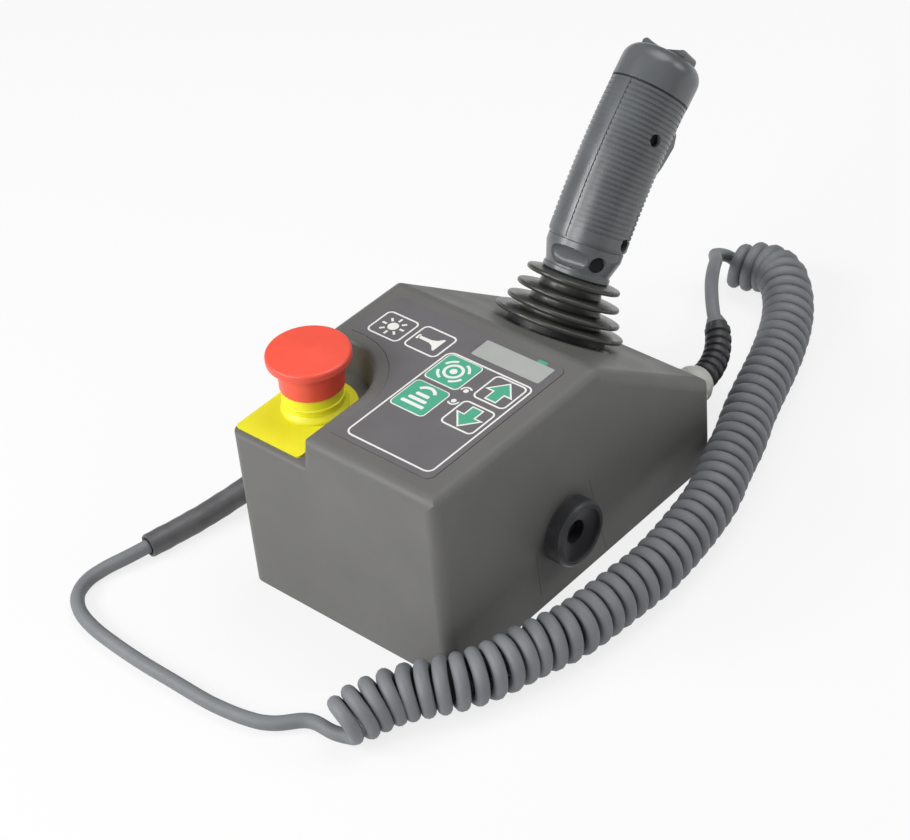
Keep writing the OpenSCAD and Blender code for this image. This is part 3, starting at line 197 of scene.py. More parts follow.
# Near-black painted shade: it stands in for the shade inside the groove under the cap and inside the fine
# creases on the right wall
painted_crease_shade = surface("painted_shade_for_creases", (0.012, 0.012, 0.013), shade=0.8, roughness=(0.5, 0.6),
                 patch=200, grain=2000, depth=0.005)

FINISHES = {
    housing: ["enclosure", "bottom_cover"],
    film: ["graphic_overlay"],
    black_plastic: ["stick_flange", "stick_housing", "stop_contacts", "sounder_body", "sounder_ring",
                    "strain_relief", "plug_insert"],
    grip_plastic: ["grip_left", "grip_right", "grip_cap", "grip_collar", "trigger", "thumb_rocker"],
    rubber: ["bellows", "cover_gasket"],
    cord_sheath: ["cord_lead", "cord_coil", "cord_tail"],
    shrink: ["cord_sleeve"],
    red_plastic: ["stop_head"],
    yellow_plastic: ["stop_plate", "stop_collar"],
    grey_plastic: ["stop_barrel", "stop_nut", "stop_plunger", "sounder_nut", "plug_shell"],
    pale_plastic: ["gland_body", "gland_nut", "gland_locknut"],
    lens: ["display_window"],
    steel: ["cover_screws", "flange_screws", "pivot_pin", "stick_shaft", "plug_pins"],
    # The grip screws' near-black stands in for the shade in their wells: painted shade
    dark_steel_and_well_shade: ["grip_screws", "rocker_pin", "trigger_pin"],
}


def dress_solids():
    for material, names in FINISHES.items():
        for name in names:
            slots = nodes[name].data.materials
            slots.clear()
            slots.append(material)


dress_solids()


# Mesh making
def add_piece(name, bm, material, body, place=Matrix.Identity(4), sharp=35.0):
    """Finished piece from a bmesh drawn in millimetres in the frame given by place."""
    bmesh.ops.recalc_face_normals(bm, faces=bm.faces)
    mesh = bpy.data.meshes.new(name)
    bm.to_mesh(mesh)
    bm.free()
    mesh.transform(place @ Matrix.Scale(MM, 4))
    mesh.shade_smooth()
    mesh.set_sharp_from_angle(angle=math.radians(sharp))
    mesh.materials.append(material)
    piece = bpy.data.objects.new(name, mesh)
    bpy.context.scene.collection.objects.link(piece)
    if body:
        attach(piece, body)
    return piece


def skin(bm, rings, closed):
    """Faces between rings of as many points each, each ring closed on itself."""
    after = rings[1:] + rings[:1] if closed else rings[1:]
    for low, high in zip(rings, after):
        for k in range(len(low)):
            n = (k + 1) % len(low)
            bm.faces.new((low[k], low[n], high[n], high[k]))


def capped_skin(bm, rings):
    """Faces between rings, with a face on the first and the last."""
    skin(bm, rings, closed=False)
    bm.faces.new(rings[0])
    bm.faces.new(rings[-1])


def turns(steps):
    """Angles of even steps round a circle."""
    return [2 * math.pi * k / steps for k in range(steps)]


def revolve(bm, profile, angles, radius_at=None):
    """Closed skin of a closed profile of (radius, height) points turned about Z."""
    rings = []
    for r, z in profile:
        reaches = [radius_at(r, z, angle) if radius_at else r for angle in angles]
        rings.append([bm.verts.new((reach * math.cos(angle), reach * math.sin(angle), z))
                      for reach, angle in zip(reaches, angles)])
    skin(bm, rings, closed=True)


def line_heading(line, k):
    """Direction of a line of points at one of them."""
    return (line[min(k + 1, len(line) - 1)] - line[max(k - 1, 0)]).normalized()


def ring_at(bm, centre, heading, r, sides):
    """Ring of points about a place on a line, square to its heading."""
    side = heading.cross(UP).normalized()
    up = side.cross(heading)
    return [bm.verts.new(centre + r * (math.cos(t) * side + math.sin(t) * up)) for t in turns(sides)]


def sweep(bm, centres, radii, sides):
    """Tube of changing radius along a line of points, closed at both ends."""
    capped_skin(bm, [ring_at(bm, centre, line_heading(centres, k), r, sides)
                     for k, (centre, r) in enumerate(zip(centres, radii))])


def prism(bm, outline, low, high):
    """Upright prism on a closed outline of (x, y) points."""
    base = [bm.verts.new((x, y, low)) for x, y in outline]
    top = [bm.verts.new((x, y, high)) for x, y in outline]
    capped_skin(bm, [base, top])


def frame_prism(bm, outer, inner, low, high):
    """Upright prism between two outlines with as many points each."""
    rings = [[bm.verts.new((x, y, z)) for x, y in outline]
             for outline, z in ((outer, low), (outer, high), (inner, high), (inner, low))]
    skin(bm, rings, closed=True)


def arc(cx, cy, r, start, end, steps):
    """Points along an arc, in degrees."""
    angles = [math.radians(start + (end - start) * k / steps) for k in range(steps + 1)]
    return [(cx + r * math.cos(a), cy + r * math.sin(a)) for a in angles]


def circle(cx, cy, r, sides):
    """Outline of a circle."""
    return arc(cx, cy, r, 0, 360 - 360 / sides, sides - 1)


def rounded(x0, y0, x1, y1, r, steps=6):
    """Outline of a rectangle with round corners."""
    corners = [(x1 - r, y1 - r), (x0 + r, y1 - r), (x0 + r, y0 + r), (x1 - r, y0 + r)]
    points = []
    for k, (cx, cy) in enumerate(corners):
        points += arc(cx, cy, r, 90 * k, 90 * (k + 1), steps)
    return points


def fillet(points, steps=5):
    """Closed outline through (x, y, radius) points, its corners rounded to their radius."""
    out = []
    for k, (x, y, r) in enumerate(points):
        here = Vector((x, y))
        if r == 0:
            out.append((x, y))
            continue
        back = (Vector(points[k - 1][:2]) - here).normalized()
        ahead = (Vector(points[(k + 1) % len(points)][:2]) - here).normalized()
        half = back.angle(ahead) / 2
        centre = here + (back + ahead).normalized() * (r / math.sin(half))
        first = here + back * (r / math.tan(half)) - centre
        second = here + ahead * (r / math.tan(half)) - centre
        whole = first.angle(second)
        for n in range(steps + 1):
            t = n / steps
            swing = math.sin((1 - t) * whole) * first + math.sin(t * whole) * second
            spot = centre + swing / math.sin(whole)
            out.append((spot.x, spot.y))
    return out


def divided(outline, longest):
    """Open outline with points added, so that no two neighbours lie further apart than longest."""
    out = []
    for (x0, y0), (x1, y1) in zip(outline, outline[1:]):
        count = max(1, math.ceil(math.hypot(x1 - x0, y1 - y0) / longest))
        out += [(x0 + (x1 - x0) * k / count, y0 + (y1 - y0) * k / count) for k in range(count)]
    return out + [outline[-1]]


# Cord: one line from the strain relief through the coil to the shrink sleeve, with its length in metres
CORD_D = 7.0
CORD_BEVEL_STEPS = 4
RELIEF_START = Vector((45.0, 115.0, 32.0))
RELIEF_BEND_R = 38.0
RELIEF_TURN = math.radians(55)
RELIEF_ROLL = math.radians(33)
LEAD_STRAIGHT = 5
LEAD_STEP = 2.5
LEAD_ROUTE = [
    (21, 157, 45), (12, 169, 45), (3, 183, 42), (-5, 196, 36.5), (-12, 205, 30.5), (-18, 213, 25.5),
    (-21.5, 221, 20), (-19.5, 229.5, 14.5), (-16.5, 232.5, 9), (-13.8, 228.5, 4.8)]
TAIL_ROUTE = [
    (42.5, -156.3, 3.7), (34.5, -154.8, 4), (28.5, -154.6, 4.4), (24.5, -158.5, 4.2), (19.5, -165.5, 4),
    (11.5, -169.8, 4), (1, -172.7, 4), (-10, -174.3, 4), (-20, -175, 4), (-40, -175, 4), (-60, -175, 4),
    (-80, -174, 4), (-97, -172, 4), (-110, -168, 4), (-119, -161, 4), (-123, -151, 4), (-122, -140, 4.4),
    (-118, -129, 5.6), (-115, -118, 6.2)]

# Middle line of the coil: where a point has no height, it lies at COIL_Z
COIL_Z = 13.7
COIL_ROUTE = [
    (-13, 224.5, 13.8), (-4, 227.5, 15), (5, 229.5, 16), (13.5, 228, 16), (21.5, 221.5, 15), (30, 211.5, 14),
    (39, 197), (47, 180), (54, 162), (60, 144), (67, 124), (75, 105), (83, 81), (90.5, 60), (95.5, 32),
    (98, 5), (97, -14), (95.5, -32), (93.5, -49), (90, -61), (86, -72), (81, -89.5), (74, -104),
    (65.5, -115.5), (57, -127.5), (52.5, -138), (50, -147), (48, -156)]

# Turns of the coil, which are closer where its middle line bends to a radius under COIL_EASY_BEND
COIL_R = 10.1
COIL_PITCH = 7.8
COIL_STEP = 0.35
COIL_SPAN = 20
COIL_EASY_BEND = 50.0
COIL_ENTER = math.radians(-75)
COIL_LEAVE = math.radians(-90)

# Lean of the turns along the coil, which grows over the last stretch
COIL_LEAN = 0.4
COIL_END_LEAN = 4.0
COIL_LEAN_RUN = 75.0

# Points that are evened out on each side of a join, and how often
JOIN_REACH = 16
JOIN_ROUNDS = 8


def relief_point(angle):
    """Point of the strain relief's arc at a turn from its start."""
    inward = RELIEF_BEND_R * (1 - math.cos(angle))
    return RELIEF_START + Vector((-inward * math.cos(RELIEF_ROLL), RELIEF_BEND_R * math.sin(angle),
                                  inward * math.sin(RELIEF_ROLL)))


def relief_heading(angle):
    """Direction of the strain relief's arc at a turn from its start."""
    return Vector((-math.sin(angle) * math.cos(RELIEF_ROLL), math.cos(angle),
                   math.sin(angle) * math.sin(RELIEF_ROLL)))


def smooth_route(points, step):
    """Points every step or so on a smooth curve through the given ones."""
    points = [Vector(p) for p in points]
    padded = [2 * points[0] - points[1]] + points + [2 * points[-1] - points[-2]]
    out = []
    for a, b, c, d in zip(padded, padded[1:], padded[2:], padded[3:]):
        count = max(1, round((c - b).length / step))
        for k in range(count):
            t = k / count
            out.append(0.5 * (2 * b + (c - a) * t + (2 * a - 5 * b + 4 * c - d) * t ** 2
                              + (3 * b - a - 3 * c + d) * t ** 3))
    return out + [points[-1]]


def winding(axis, headings):
    """Angle of the helix at each point of its axis."""
    last = len(axis) - 1
    turned = [0.0]
    for k in range(last):
        step = (axis[k + 1] - axis[k]).length
        near = max(k - COIL_SPAN, 0)
        far = min(k + COIL_SPAN, last)
        bend = headings[near].angle(headings[far]) / ((far - near) * COIL_STEP)
        closer = 1 + COIL_R * max(0.0, bend - 1 / COIL_EASY_BEND)
        turned.append(turned[-1] + 2 * math.pi * step / COIL_PITCH * closer)
    extra = (COIL_LEAVE - COIL_ENTER) % (2 * math.pi)
    whole = 2 * math.pi * round((turned[-1] - extra) / (2 * math.pi)) + extra
    return [COIL_ENTER + whole * share / turned[-1] for share in turned]


def coil_points():
    """Helix about the coil's middle line, with both its ends low on the coil."""
    axis = smooth_route([(*place, COIL_Z)[:3] for place in COIL_ROUTE], COIL_STEP)
    last = len(axis) - 1
    headings = [line_heading(axis, k) for k in range(last + 1)]
    out = []
    for k, (here, heading, angle) in enumerate(zip(axis, headings, winding(axis, headings))):
        side = heading.cross(UP)
        lean = COIL_LEAN + COIL_END_LEAN * max(0, 1 - (last - k) * COIL_STEP / COIL_LEAN_RUN)
        out.append(here + COIL_R * (math.cos(angle) * side + math.sin(angle) * UP)
                   + lean * math.sin(angle) * heading)
    return out


def eased(lead, helix, tail):
    """The three stretches as one line, evened out where they join."""
    line = lead + helix + tail
    for middle in (len(lead), len(lead) + len(helix)):
        stretch = range(middle - JOIN_REACH, middle + JOIN_REACH)
        for _ in range(JOIN_ROUNDS):
            moved = [(line[k - 1] + 2 * line[k] + line[k + 1]) / 4 for k in stretch]
            for k, place in zip(stretch, moved):
                line[k] = place
    return line


def cord_line():
    """The whole line: a plain lead that comes down behind the first turn, the helix and a plain tail."""
    start = relief_point(RELIEF_TURN)
    straight = start + LEAD_STRAIGHT * relief_heading(RELIEF_TURN)
    helix = coil_points()
    lead = smooth_route([start, straight, *LEAD_ROUTE, helix[0]], LEAD_STEP)
    tail = smooth_route([helix[-1], *TAIL_ROUTE], LEAD_STEP)
    return eased(lead[:-1], helix, tail[1:])


def add_cord():
    line = cord_line()
    data = bpy.data.curves.new("curly_cord", "CURVE")
    data.dimensions = "3D"
    data.bevel_depth = CORD_D / 2 * MM
    data.bevel_resolution = CORD_BEVEL_STEPS
    data.use_fill_caps = True
    spline = data.splines.new("POLY")
    spline.points.add(len(line) - 1)
    for point, place in zip(spline.points, line):
        point.co = (*(place * MM), 1)
    spline.use_smooth = True
    made = bpy.data.objects.new("curly_cord", data)
    bpy.context.scene.collection.objects.link(made)
    data.materials.append(cord_sheath)
    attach(made, "base")
    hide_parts("cord_lead", "cord_coil", "cord_tail")
    return made


# Shrunk sleeve over the end of the cord, with a slight ripple
SLEEVE_R = 6.0
SLEEVE_ROUTE = [(-115, -118, 6.2), (-112, -104, 6.2), (-108, -88, 7.2), (-104, -72, 9.4),
                (-101, -58.7, 11.4), (-99, -49.8, 11.8)]
SLEEVE_STEP = 1.0
SLEEVE_SIDES = 32
RIPPLE = 0.12
RIPPLE_RATES = (0.55, 0.17)

# Mouth of the sleeve, turned in on the cord: number of the route's point, and radius there
SLEEVE_MOUTH = [(4, CORD_D / 2 + 0.1), (1, CORD_D / 2 + 0.6), (0, SLEEVE_R - 1.1), (0, SLEEVE_R - 0.3),
                (1, SLEEVE_R)]
SLEEVE_FROM = 2


def add_sleeve():
    line = smooth_route(SLEEVE_ROUTE, SLEEVE_STEP)
    bm = bmesh.new()
    rings = [ring_at(bm, line[k], line_heading(line, 0), r, SLEEVE_SIDES) for k, r in SLEEVE_MOUTH]
    for k in range(SLEEVE_FROM, len(line)):
        r = SLEEVE_R - RIPPLE * math.sin(RIPPLE_RATES[0] * k) * math.sin(RIPPLE_RATES[1] * k)
        rings.append(ring_at(bm, line[k], line_heading(line, k), r, SLEEVE_SIDES))
    capped_skin(bm, rings)
    sleeve = add_piece("shrink_sleeve", bm, shrink, "base")
    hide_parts("cord_sleeve")
    return sleeve


cord = add_cord()
[add_sleeve()] + [nodes[n] for n in ("plug_shell", "plug_insert", "plug_pins")]


# Strain relief: a tapered boot with ribs, and a collar where the cord comes out
RELIEF_R = 5.6
RELIEF_SIDES = 36
RELIEF_TIP_R = 5.2
RELIEF_TIP_TURN = 0.01
RIBS = 7
RIB_R = 7.1
RIB_TAPER = 0.09
RIB_MARGIN = 0.3

# Side of one rib: share of the pitch along it, and drop below its radius
RIB_SIDE = [(0, 1.1), (0.08, 0.3), (0.16, 0), (0.62, 0), (0.7, 0.3), (0.78, 1.1)]

# Side of the collar: distance along the cord from the boot's end, and radius
COLLAR_TAPER = [(-1.6, 5.3), (-0.6, 5.5), (0.6, 5.2), (2.4, 4.4), (3.6, 4.0), (3.8, 3.6)]
COLLAR_TAPER_SIDES = 32


def add_relief_boot():
    pitch = RELIEF_TURN / (RIBS + 2 * RIB_MARGIN)
    stops = [(0.0, RELIEF_R)]
    for k in range(RIBS):
        foot = pitch * (k + RIB_MARGIN)
        rib = RIB_R - RIB_TAPER * k
        stops += [(foot + share * pitch, rib - drop) for share, drop in RIB_SIDE]
    stops += [(RELIEF_TURN - RELIEF_TIP_TURN, RELIEF_R), (RELIEF_TURN, RELIEF_TIP_R)]
    bm = bmesh.new()
    sweep(bm, [relief_point(angle) for angle, _ in stops], [r for _, r in stops], RELIEF_SIDES)
    boot = add_piece("relief_boot", bm, black_plastic, "base")
    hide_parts("strain_relief")


def add_relief_collar():
    end = relief_point(RELIEF_TURN)
    ahead = relief_heading(RELIEF_TURN)
    centres = [end + along * ahead for along, _ in COLLAR_TAPER]
    bm = bmesh.new()
    sweep(bm, centres, [r for _, r in COLLAR_TAPER], COLLAR_TAPER_SIDES)
    add_piece("relief_collar", bm, cord_sheath, "base")


add_relief_boot()
add_relief_collar()


# Bellows: folds with round edges, between the box and the stick
BELLOWS_STEPS = 144
BELLOWS_FOOT_R = 24.5
FOLDS = [(5.1, 32.1), (11.15, 28.3), (18.5, 25.7), (26.5, 23.4)]
ROOTS = [((20.9, 7.0), (20.1, 9.3)), ((18.2, 13.0), (17.1, 16.6)), ((15.9, 20.4), (14.9, 24.6))]
FOLD_TIP = 1.1
FOLD_ROUND = 1.05
ROOT_ROUND = (0.95, 1.2, 1.4)
BELLOWS_NECK = [(16.3, 28.6, 0.4), (15.8, NECK_Z, 0)]
BELLOWS_INSIDE = [(14.2, NECK_Z, 0), (12.9, 24.6, 0), (20.6, FLANGE_T, 0)]

# Moulding lines down the bellows' two sides, on the folds alone
SEAM_DEPTH = 0.4
SEAM_ANGLE = math.radians(0.5)
SEAM_FROM_R = 19


def bellows_profile():
    points = [(BELLOWS_FOOT_R, FLANGE_T, 0)]
    for k, (z, r) in enumerate(FOLDS):
        points += [(r, z - FOLD_TIP, FOLD_ROUND), (r, z + FOLD_TIP, FOLD_ROUND)]
        if k < len(ROOTS):
            points += [(*spot, ROOT_ROUND[k]) for spot in ROOTS[k]]
    return fillet(points + BELLOWS_NECK + BELLOWS_INSIDE)


def seamed_radius(r, z, angle):
    """Radius of the bellows, less where a moulding line crosses a fold."""
    on_seam = abs(math.sin(angle)) < math.sin(SEAM_ANGLE / 2)
    return r - SEAM_DEPTH if on_seam and r > SEAM_FROM_R else r


def add_bellows():
    beside_seams = [SEAM_ANGLE, math.pi - SEAM_ANGLE, math.pi + SEAM_ANGLE, 2 * math.pi - SEAM_ANGLE]
    bm = bmesh.new()
    revolve(bm, bellows_profile(), sorted(turns(BELLOWS_STEPS) + beside_seams), seamed_radius)
    piece = add_piece("bellows_folds", bm, rubber, None, on_slope, sharp=60)
    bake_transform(piece)
    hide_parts("bellows")


add_bellows()


# Grip: softened rocker and trigger, a collar with a thumb dish and a screw well, painted shade in the groove
# under the cap
def soften(name, node, body, voxel, rounds):
    """A copy of a solid with its edges rounded off, standing for it."""
    made = bpy.data.objects.new(name, nodes[node].data.copy())
    bpy.context.scene.collection.objects.link(made)
    remesh = made.modifiers.new("remesh", "REMESH")
    remesh.mode = "VOXEL"
    remesh.voxel_size = voxel * MM
    smooth = made.modifiers.new("smooth", "SMOOTH")
    smooth.iterations = rounds
    seen = made.evaluated_get(bpy.context.evaluated_depsgraph_get())
    mesh = bpy.data.meshes.new_from_object(seen)
    made.modifiers.clear()
    made.data = mesh
    mesh.shade_smooth()
    mesh.materials.clear()
    mesh.materials.append(grip_plastic)
    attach(made, body)
    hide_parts(node)


COLLAR_BORE = 8.0
COLLAR_R = 18.8
SHOULDER_Z = 11.9
SHOULDER_ROUND = 4
LIP_R = 16.7
LIP_H = 2.6
LIP_ROUND = 0.5
FOOT_R = 16.1
WAIST_Z = 3.4
RIM_Z = NECK_H - 0.8
RIM_R = COLLAR_R - 0.4
RIM_ROUND = 0.4
COLLAR_SIDE = [
    (COLLAR_BORE, 0, 0), (LIP_R, 0, LIP_ROUND), (LIP_R, LIP_H, LIP_ROUND), (FOOT_R, LIP_H, 0),
    (FOOT_R, WAIST_Z, 0), (COLLAR_R, SHOULDER_Z, SHOULDER_ROUND), (COLLAR_R, RIM_Z, RIM_ROUND),
    (RIM_R, RIM_Z, 0), (RIM_R, NECK_H, 0), (COLLAR_BORE, NECK_H, 0)]
COLLAR_STEPS = 360
COLLAR_GRAIN = 0.25

# Thumb dish: a shallow bowl with a rounded square outline and steep sides
DISH_TURN = math.radians(10)
DISH_HALF = math.radians(33.5)
DISH_Z = 8.2
DISH_RISE = 4.6
DISH_DEPTH = 3.2
DISH_SQUARENESS = 2.6
DISH_FLATNESS = 0.55

# Screw well, with the share of its radius that its edge takes
WELL_TURN = math.radians(61)
WELL_Z = 8.8
WELL_R = 3.9
WELL_DEPTH = 4.0
WELL_EDGE = 0.12

GROOVE_IN_R = GRIP_R - 0.6
GROOVE_OUT_R = GRIP_R + 0.08
GROOVE_LOW = -0.35
GROOVE_HIGH = 0.3
GROOVE_STEPS = 96


def hollow(turn, z, reach):
    """Depth, at a place of the collar's side, of the thumb dish or the screw well."""
    spread = (abs((turn - DISH_TURN) / DISH_HALF) ** DISH_SQUARENESS
              + abs((z - DISH_Z) / DISH_RISE) ** DISH_SQUARENESS)
    dish = DISH_DEPTH * max(0.0, 1 - spread) ** DISH_FLATNESS
    out = math.hypot(reach * (turn - WELL_TURN), z - WELL_Z) / WELL_R
    return max(dish, WELL_DEPTH * min(max((1 - out) / WELL_EDGE, 0), 1))


def add_collar():
    side = divided(fillet(COLLAR_SIDE)[1:-1], COLLAR_GRAIN)
    bm = bmesh.new()
    rings = []
    for k in range(COLLAR_STEPS):
        turn = math.pi * (2 * k / COLLAR_STEPS - 1)
        section = [(r - hollow(turn, z, r), z) for r, z in side] + [(COLLAR_BORE, NECK_H), (COLLAR_BORE, 0)]
        rings.append([bm.verts.new((r * math.sin(turn), -r * math.cos(turn), z)) for r, z in section])
    skin(bm, rings, closed=True)
    made = add_piece("collar_shaped", bm, grip_plastic, "stick", on_grip, sharp=40)
    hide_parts("grip_collar")


# A near-black ring where the cap meets the grip: painted shade standing in for the shade inside the groove
# there
def add_cap_groove():
    section = [(GROOVE_IN_R, GROOVE_LOW), (GROOVE_OUT_R, GROOVE_LOW),
               (GROOVE_OUT_R, GROOVE_HIGH), (GROOVE_IN_R, GROOVE_HIGH)]
    bm = bmesh.new()
    revolve(bm, section, turns(GROOVE_STEPS))
    add_piece("cap_groove", bm, painted_crease_shade, "stick", on_cap)


soften("rocker_soft", "thumb_rocker", "rocker", voxel=0.45, rounds=14)
soften("trigger_soft", "trigger", "trigger", voxel=0.5, rounds=10)
add_collar()
add_cap_groove()


# Sounder: ring with a knurled side and a double lip
SOUNDER_R = 16.7
SOUNDER_H = 9.0
SOUNDER_BORE = 14.36
LIP_BORE = 13.5
LIP_FLOOR = SOUNDER_H - 1.6
KNURLS = 120
KNURL_DEPTH = 0.38
KNURL_LOW = 0.8
KNURL_HIGH = 6.4
KNURL_PHASE = 0.4

# Nearness at which a point of the ring's side counts as on the knurl
KNURL_SLACK_Z = 0.01
KNURL_SLACK_R = 0.1

# Section of the ring: radius, height and rounding
SOUNDER_SIDE = [
    (SOUNDER_BORE, 0.0, 0), (SOUNDER_R, 0.0, 0.3), (SOUNDER_R, KNURL_LOW, 0), (SOUNDER_R, KNURL_HIGH, 0),
    (SOUNDER_R - 0.3, KNURL_HIGH + 0.3, 0), (SOUNDER_R, KNURL_HIGH + 0.7, 0.2),
    (SOUNDER_R, SOUNDER_H - 1.2, 0.6), (SOUNDER_R - 1.2, SOUNDER_H, 0.4), (14.5, SOUNDER_H, 0.2),
    (14.2, SOUNDER_H - 0.4, 0.1), (14.0, SOUNDER_H, 0.15), (LIP_BORE, SOUNDER_H, 0.2),
    (LIP_BORE, LIP_FLOOR, 0), (SOUNDER_BORE, LIP_FLOOR, 0)]
SOUNDER_CORNER_STEPS = 4


def knurled_radius(reach, z, angle):
    """Radius of the sounder's ring, less in the cuts of the knurl."""
    at_height = KNURL_LOW - KNURL_SLACK_Z < z < KNURL_HIGH + KNURL_SLACK_Z
    in_cut = math.sin(KNURLS * angle + KNURL_PHASE) < 0
    return reach - KNURL_DEPTH if at_height and reach > SOUNDER_R - KNURL_SLACK_R and in_cut else reach


def add_sounder_ring():
    bm = bmesh.new()
    revolve(bm, fillet(SOUNDER_SIDE, SOUNDER_CORNER_STEPS), turns(4 * KNURLS), knurled_radius)
    ring = add_piece("sounder_knurl", bm, black_plastic, "base", on_side, sharp=25)
    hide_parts("sounder_ring")


add_sounder_ring()


# Print on the panel, with X across and Y from the front edge: boxes are their lowest and highest corners
INK_T = 0.1
KEY_T = 0.3
MARK_T = KEY_T + 0.08
ARROW_T = INK_T + 0.06
LINE = 0.9
LEAST_ROUND = 0.3
GROUP_BOX = (-3.3, 15.4, 47.3, 87.9)
GROUP_ROUND = 4.0
ICON_BOXES = [(-47.5, 78.0, -28.0, 96.0), (-25.5, 79.0, -5.5, 97.0)]
ICON_ROUND = 3.0
KEYS = [(-1.0, 67.0, 18.0, 86.0), (-1.0, 43.5, 18.0, 63.0)]
KEY_ROUND = 2.0
KEY_LINE = 0.7
KEY_LINE_ROUND = 2.6
WINDOW_MARK = (34.5, 104.2, 40.0, 106.2)
WINDOW_MARK_ROUND = 0.6
RING_SIDES = 45
DOT_SIDES = 24
SMALL_DOT_SIDES = 18
BAR_STEPS = 14

# Sound rings: a dot, a ring and four bars, each with its outer radius and its width
SOUND = (8.5, 76.5)
SOUND_DOT_R = 1.9
SOUND_RING = (5.2, 1.5)
SOUND_BAR = (8.0, 1.4)
SOUND_BAR_STARTS = (20, 110, 200, 290)
SOUND_BAR_TURN = 50

# Waves: three bars that get shorter, and a bow over them
WAVES = (8.5, 53.2)
WAVE_BARS = 3
WAVE_HALF = 6.6
WAVE_NARROWER = 1.4
WAVE_LOW = -6.2
WAVE_H = 2.0
WAVE_PITCH = 3.6
WAVE_ROUND = 0.9
BOW_UP = 2.6
BOW = (6.0, 1.7)
BOW_ENDS = (30, 150)

# Arrows with a white edge, each in a box
ARROWS = [((35.6, 77.0), 1), ((35.4, 55.0), -1)]
ARROW_BOX = 9.4
ARROW_BOX_ROUND = 3.0
ARROW = [(-2.6, -6.6), (2.6, -6.6), (2.6, -0.4), (6.0, -0.4), (0, 6.6), (-6.0, -0.4), (-2.6, -0.4)]
ARROW_EDGE = [(-3.4, -7.4), (3.4, -7.4), (3.4, -1.2), (7.8, -1.2), (0, 7.9), (-7.8, -1.2), (-3.4, -1.2)]

# Small turn marks: place, and start of the bow round the dot
TURN_MARKS = [((22.3, 69.0), 40), ((22.3, 60.5), 220)]
TURN_DOT_R = 1.3
TURN_BOW = (3.0, 0.9)
TURN_BOW_TURN = 150

# Sun
SUN = (-37.75, 87.0)
SUN_R = 2.8
SUN_RAY = (4.0, 6.6)
SUN_RAY_HALF = 0.6
SUN_RAY_STEP = 45

# Horn, with its mouthpiece
HORN = (-15.5, 88.0)
HORN_SIDE = [(-7, -0.9), (0, -1.1), (2.5, -2.2), (4.6, -4.6), (5.6, -4.6), (5.6, 4.6), (4.6, 4.6), (2.5, 2.2),
             (0, 1.1), (-7, 0.9)]
HORN_MOUTH = (-8.0, -1.7, -6.6, 1.7)
HORN_MOUTH_ROUND = 0.5


def outline_box(bm, x0, y0, x1, y1, r, line=LINE):
    """Line round a box with round corners."""
    inner = rounded(x0 + line, y0 + line, x1 - line, y1 - line, max(r - line, LEAST_ROUND))
    frame_prism(bm, rounded(x0, y0, x1, y1, r), inner, 0, INK_T)


def curved_bar(bm, cx, cy, r, start, end, line, high):
    """Bar of an even width along an arc."""
    prism(bm, arc(cx, cy, r, start, end, BAR_STEPS) + arc(cx, cy, r - line, end, start, BAR_STEPS), 0, high)


def draw_sound_rings(white):
    cx, cy = SOUND
    r, line = SOUND_RING
    frame_prism(white, circle(cx, cy, r, RING_SIDES), circle(cx, cy, r - line, RING_SIDES), 0, MARK_T)
    prism(white, circle(cx, cy, SOUND_DOT_R, DOT_SIDES), 0, MARK_T)
    r, line = SOUND_BAR
    for start in SOUND_BAR_STARTS:
        curved_bar(white, cx, cy, r, start, start + SOUND_BAR_TURN, line, MARK_T)


def draw_waves(white):
    cx, cy = WAVES
    for k in range(WAVE_BARS):
        half = WAVE_HALF - WAVE_NARROWER * k
        low = cy + WAVE_LOW + WAVE_PITCH * k
        prism(white, rounded(cx - half, low, cx + half, low + WAVE_H, WAVE_ROUND), 0, MARK_T)
    r, line = BOW
    curved_bar(white, cx, cy + BOW_UP, r, *BOW_ENDS, line, MARK_T)


def draw_arrows(white, green):
    for (cx, cy), way in ARROWS:
        outline_box(white, cx - ARROW_BOX, cy - ARROW_BOX, cx + ARROW_BOX, cy + ARROW_BOX, ARROW_BOX_ROUND)
        prism(white, [(cx + x, cy + way * y) for x, y in ARROW_EDGE], 0, INK_T)
        prism(green, [(cx + x, cy + way * y) for x, y in ARROW], 0, ARROW_T)


def draw_turn_marks(white):
    r, line = TURN_BOW
    for (cx, cy), start in TURN_MARKS:
        prism(white, circle(cx, cy, TURN_DOT_R, SMALL_DOT_SIDES), 0, INK_T)
        curved_bar(white, cx, cy, r, start, start + TURN_BOW_TURN, line, INK_T)


def draw_sun(white):
    cx, cy = SUN
    near, far = SUN_RAY
    prism(white, circle(cx, cy, SUN_R, DOT_SIDES), 0, INK_T)
    for degrees in range(0, 360, SUN_RAY_STEP):
        angle = math.radians(degrees)
        along = Vector((math.cos(angle), math.sin(angle)))
        wide = Vector((-along.y, along.x)) * SUN_RAY_HALF
        spots = [along * near - wide, along * far - wide, along * far + wide, along * near + wide]
        prism(white, [(cx + s.x, cy + s.y) for s in spots], 0, INK_T)


def draw_horn(white):
    cx, cy = HORN
    x0, y0, x1, y1 = HORN_MOUTH
    prism(white, [(cx + x, cy + y) for x, y in HORN_SIDE], 0, INK_T)
    prism(white, rounded(cx + x0, cy + y0, cx + x1, cy + y1, HORN_MOUTH_ROUND), 0, INK_T)


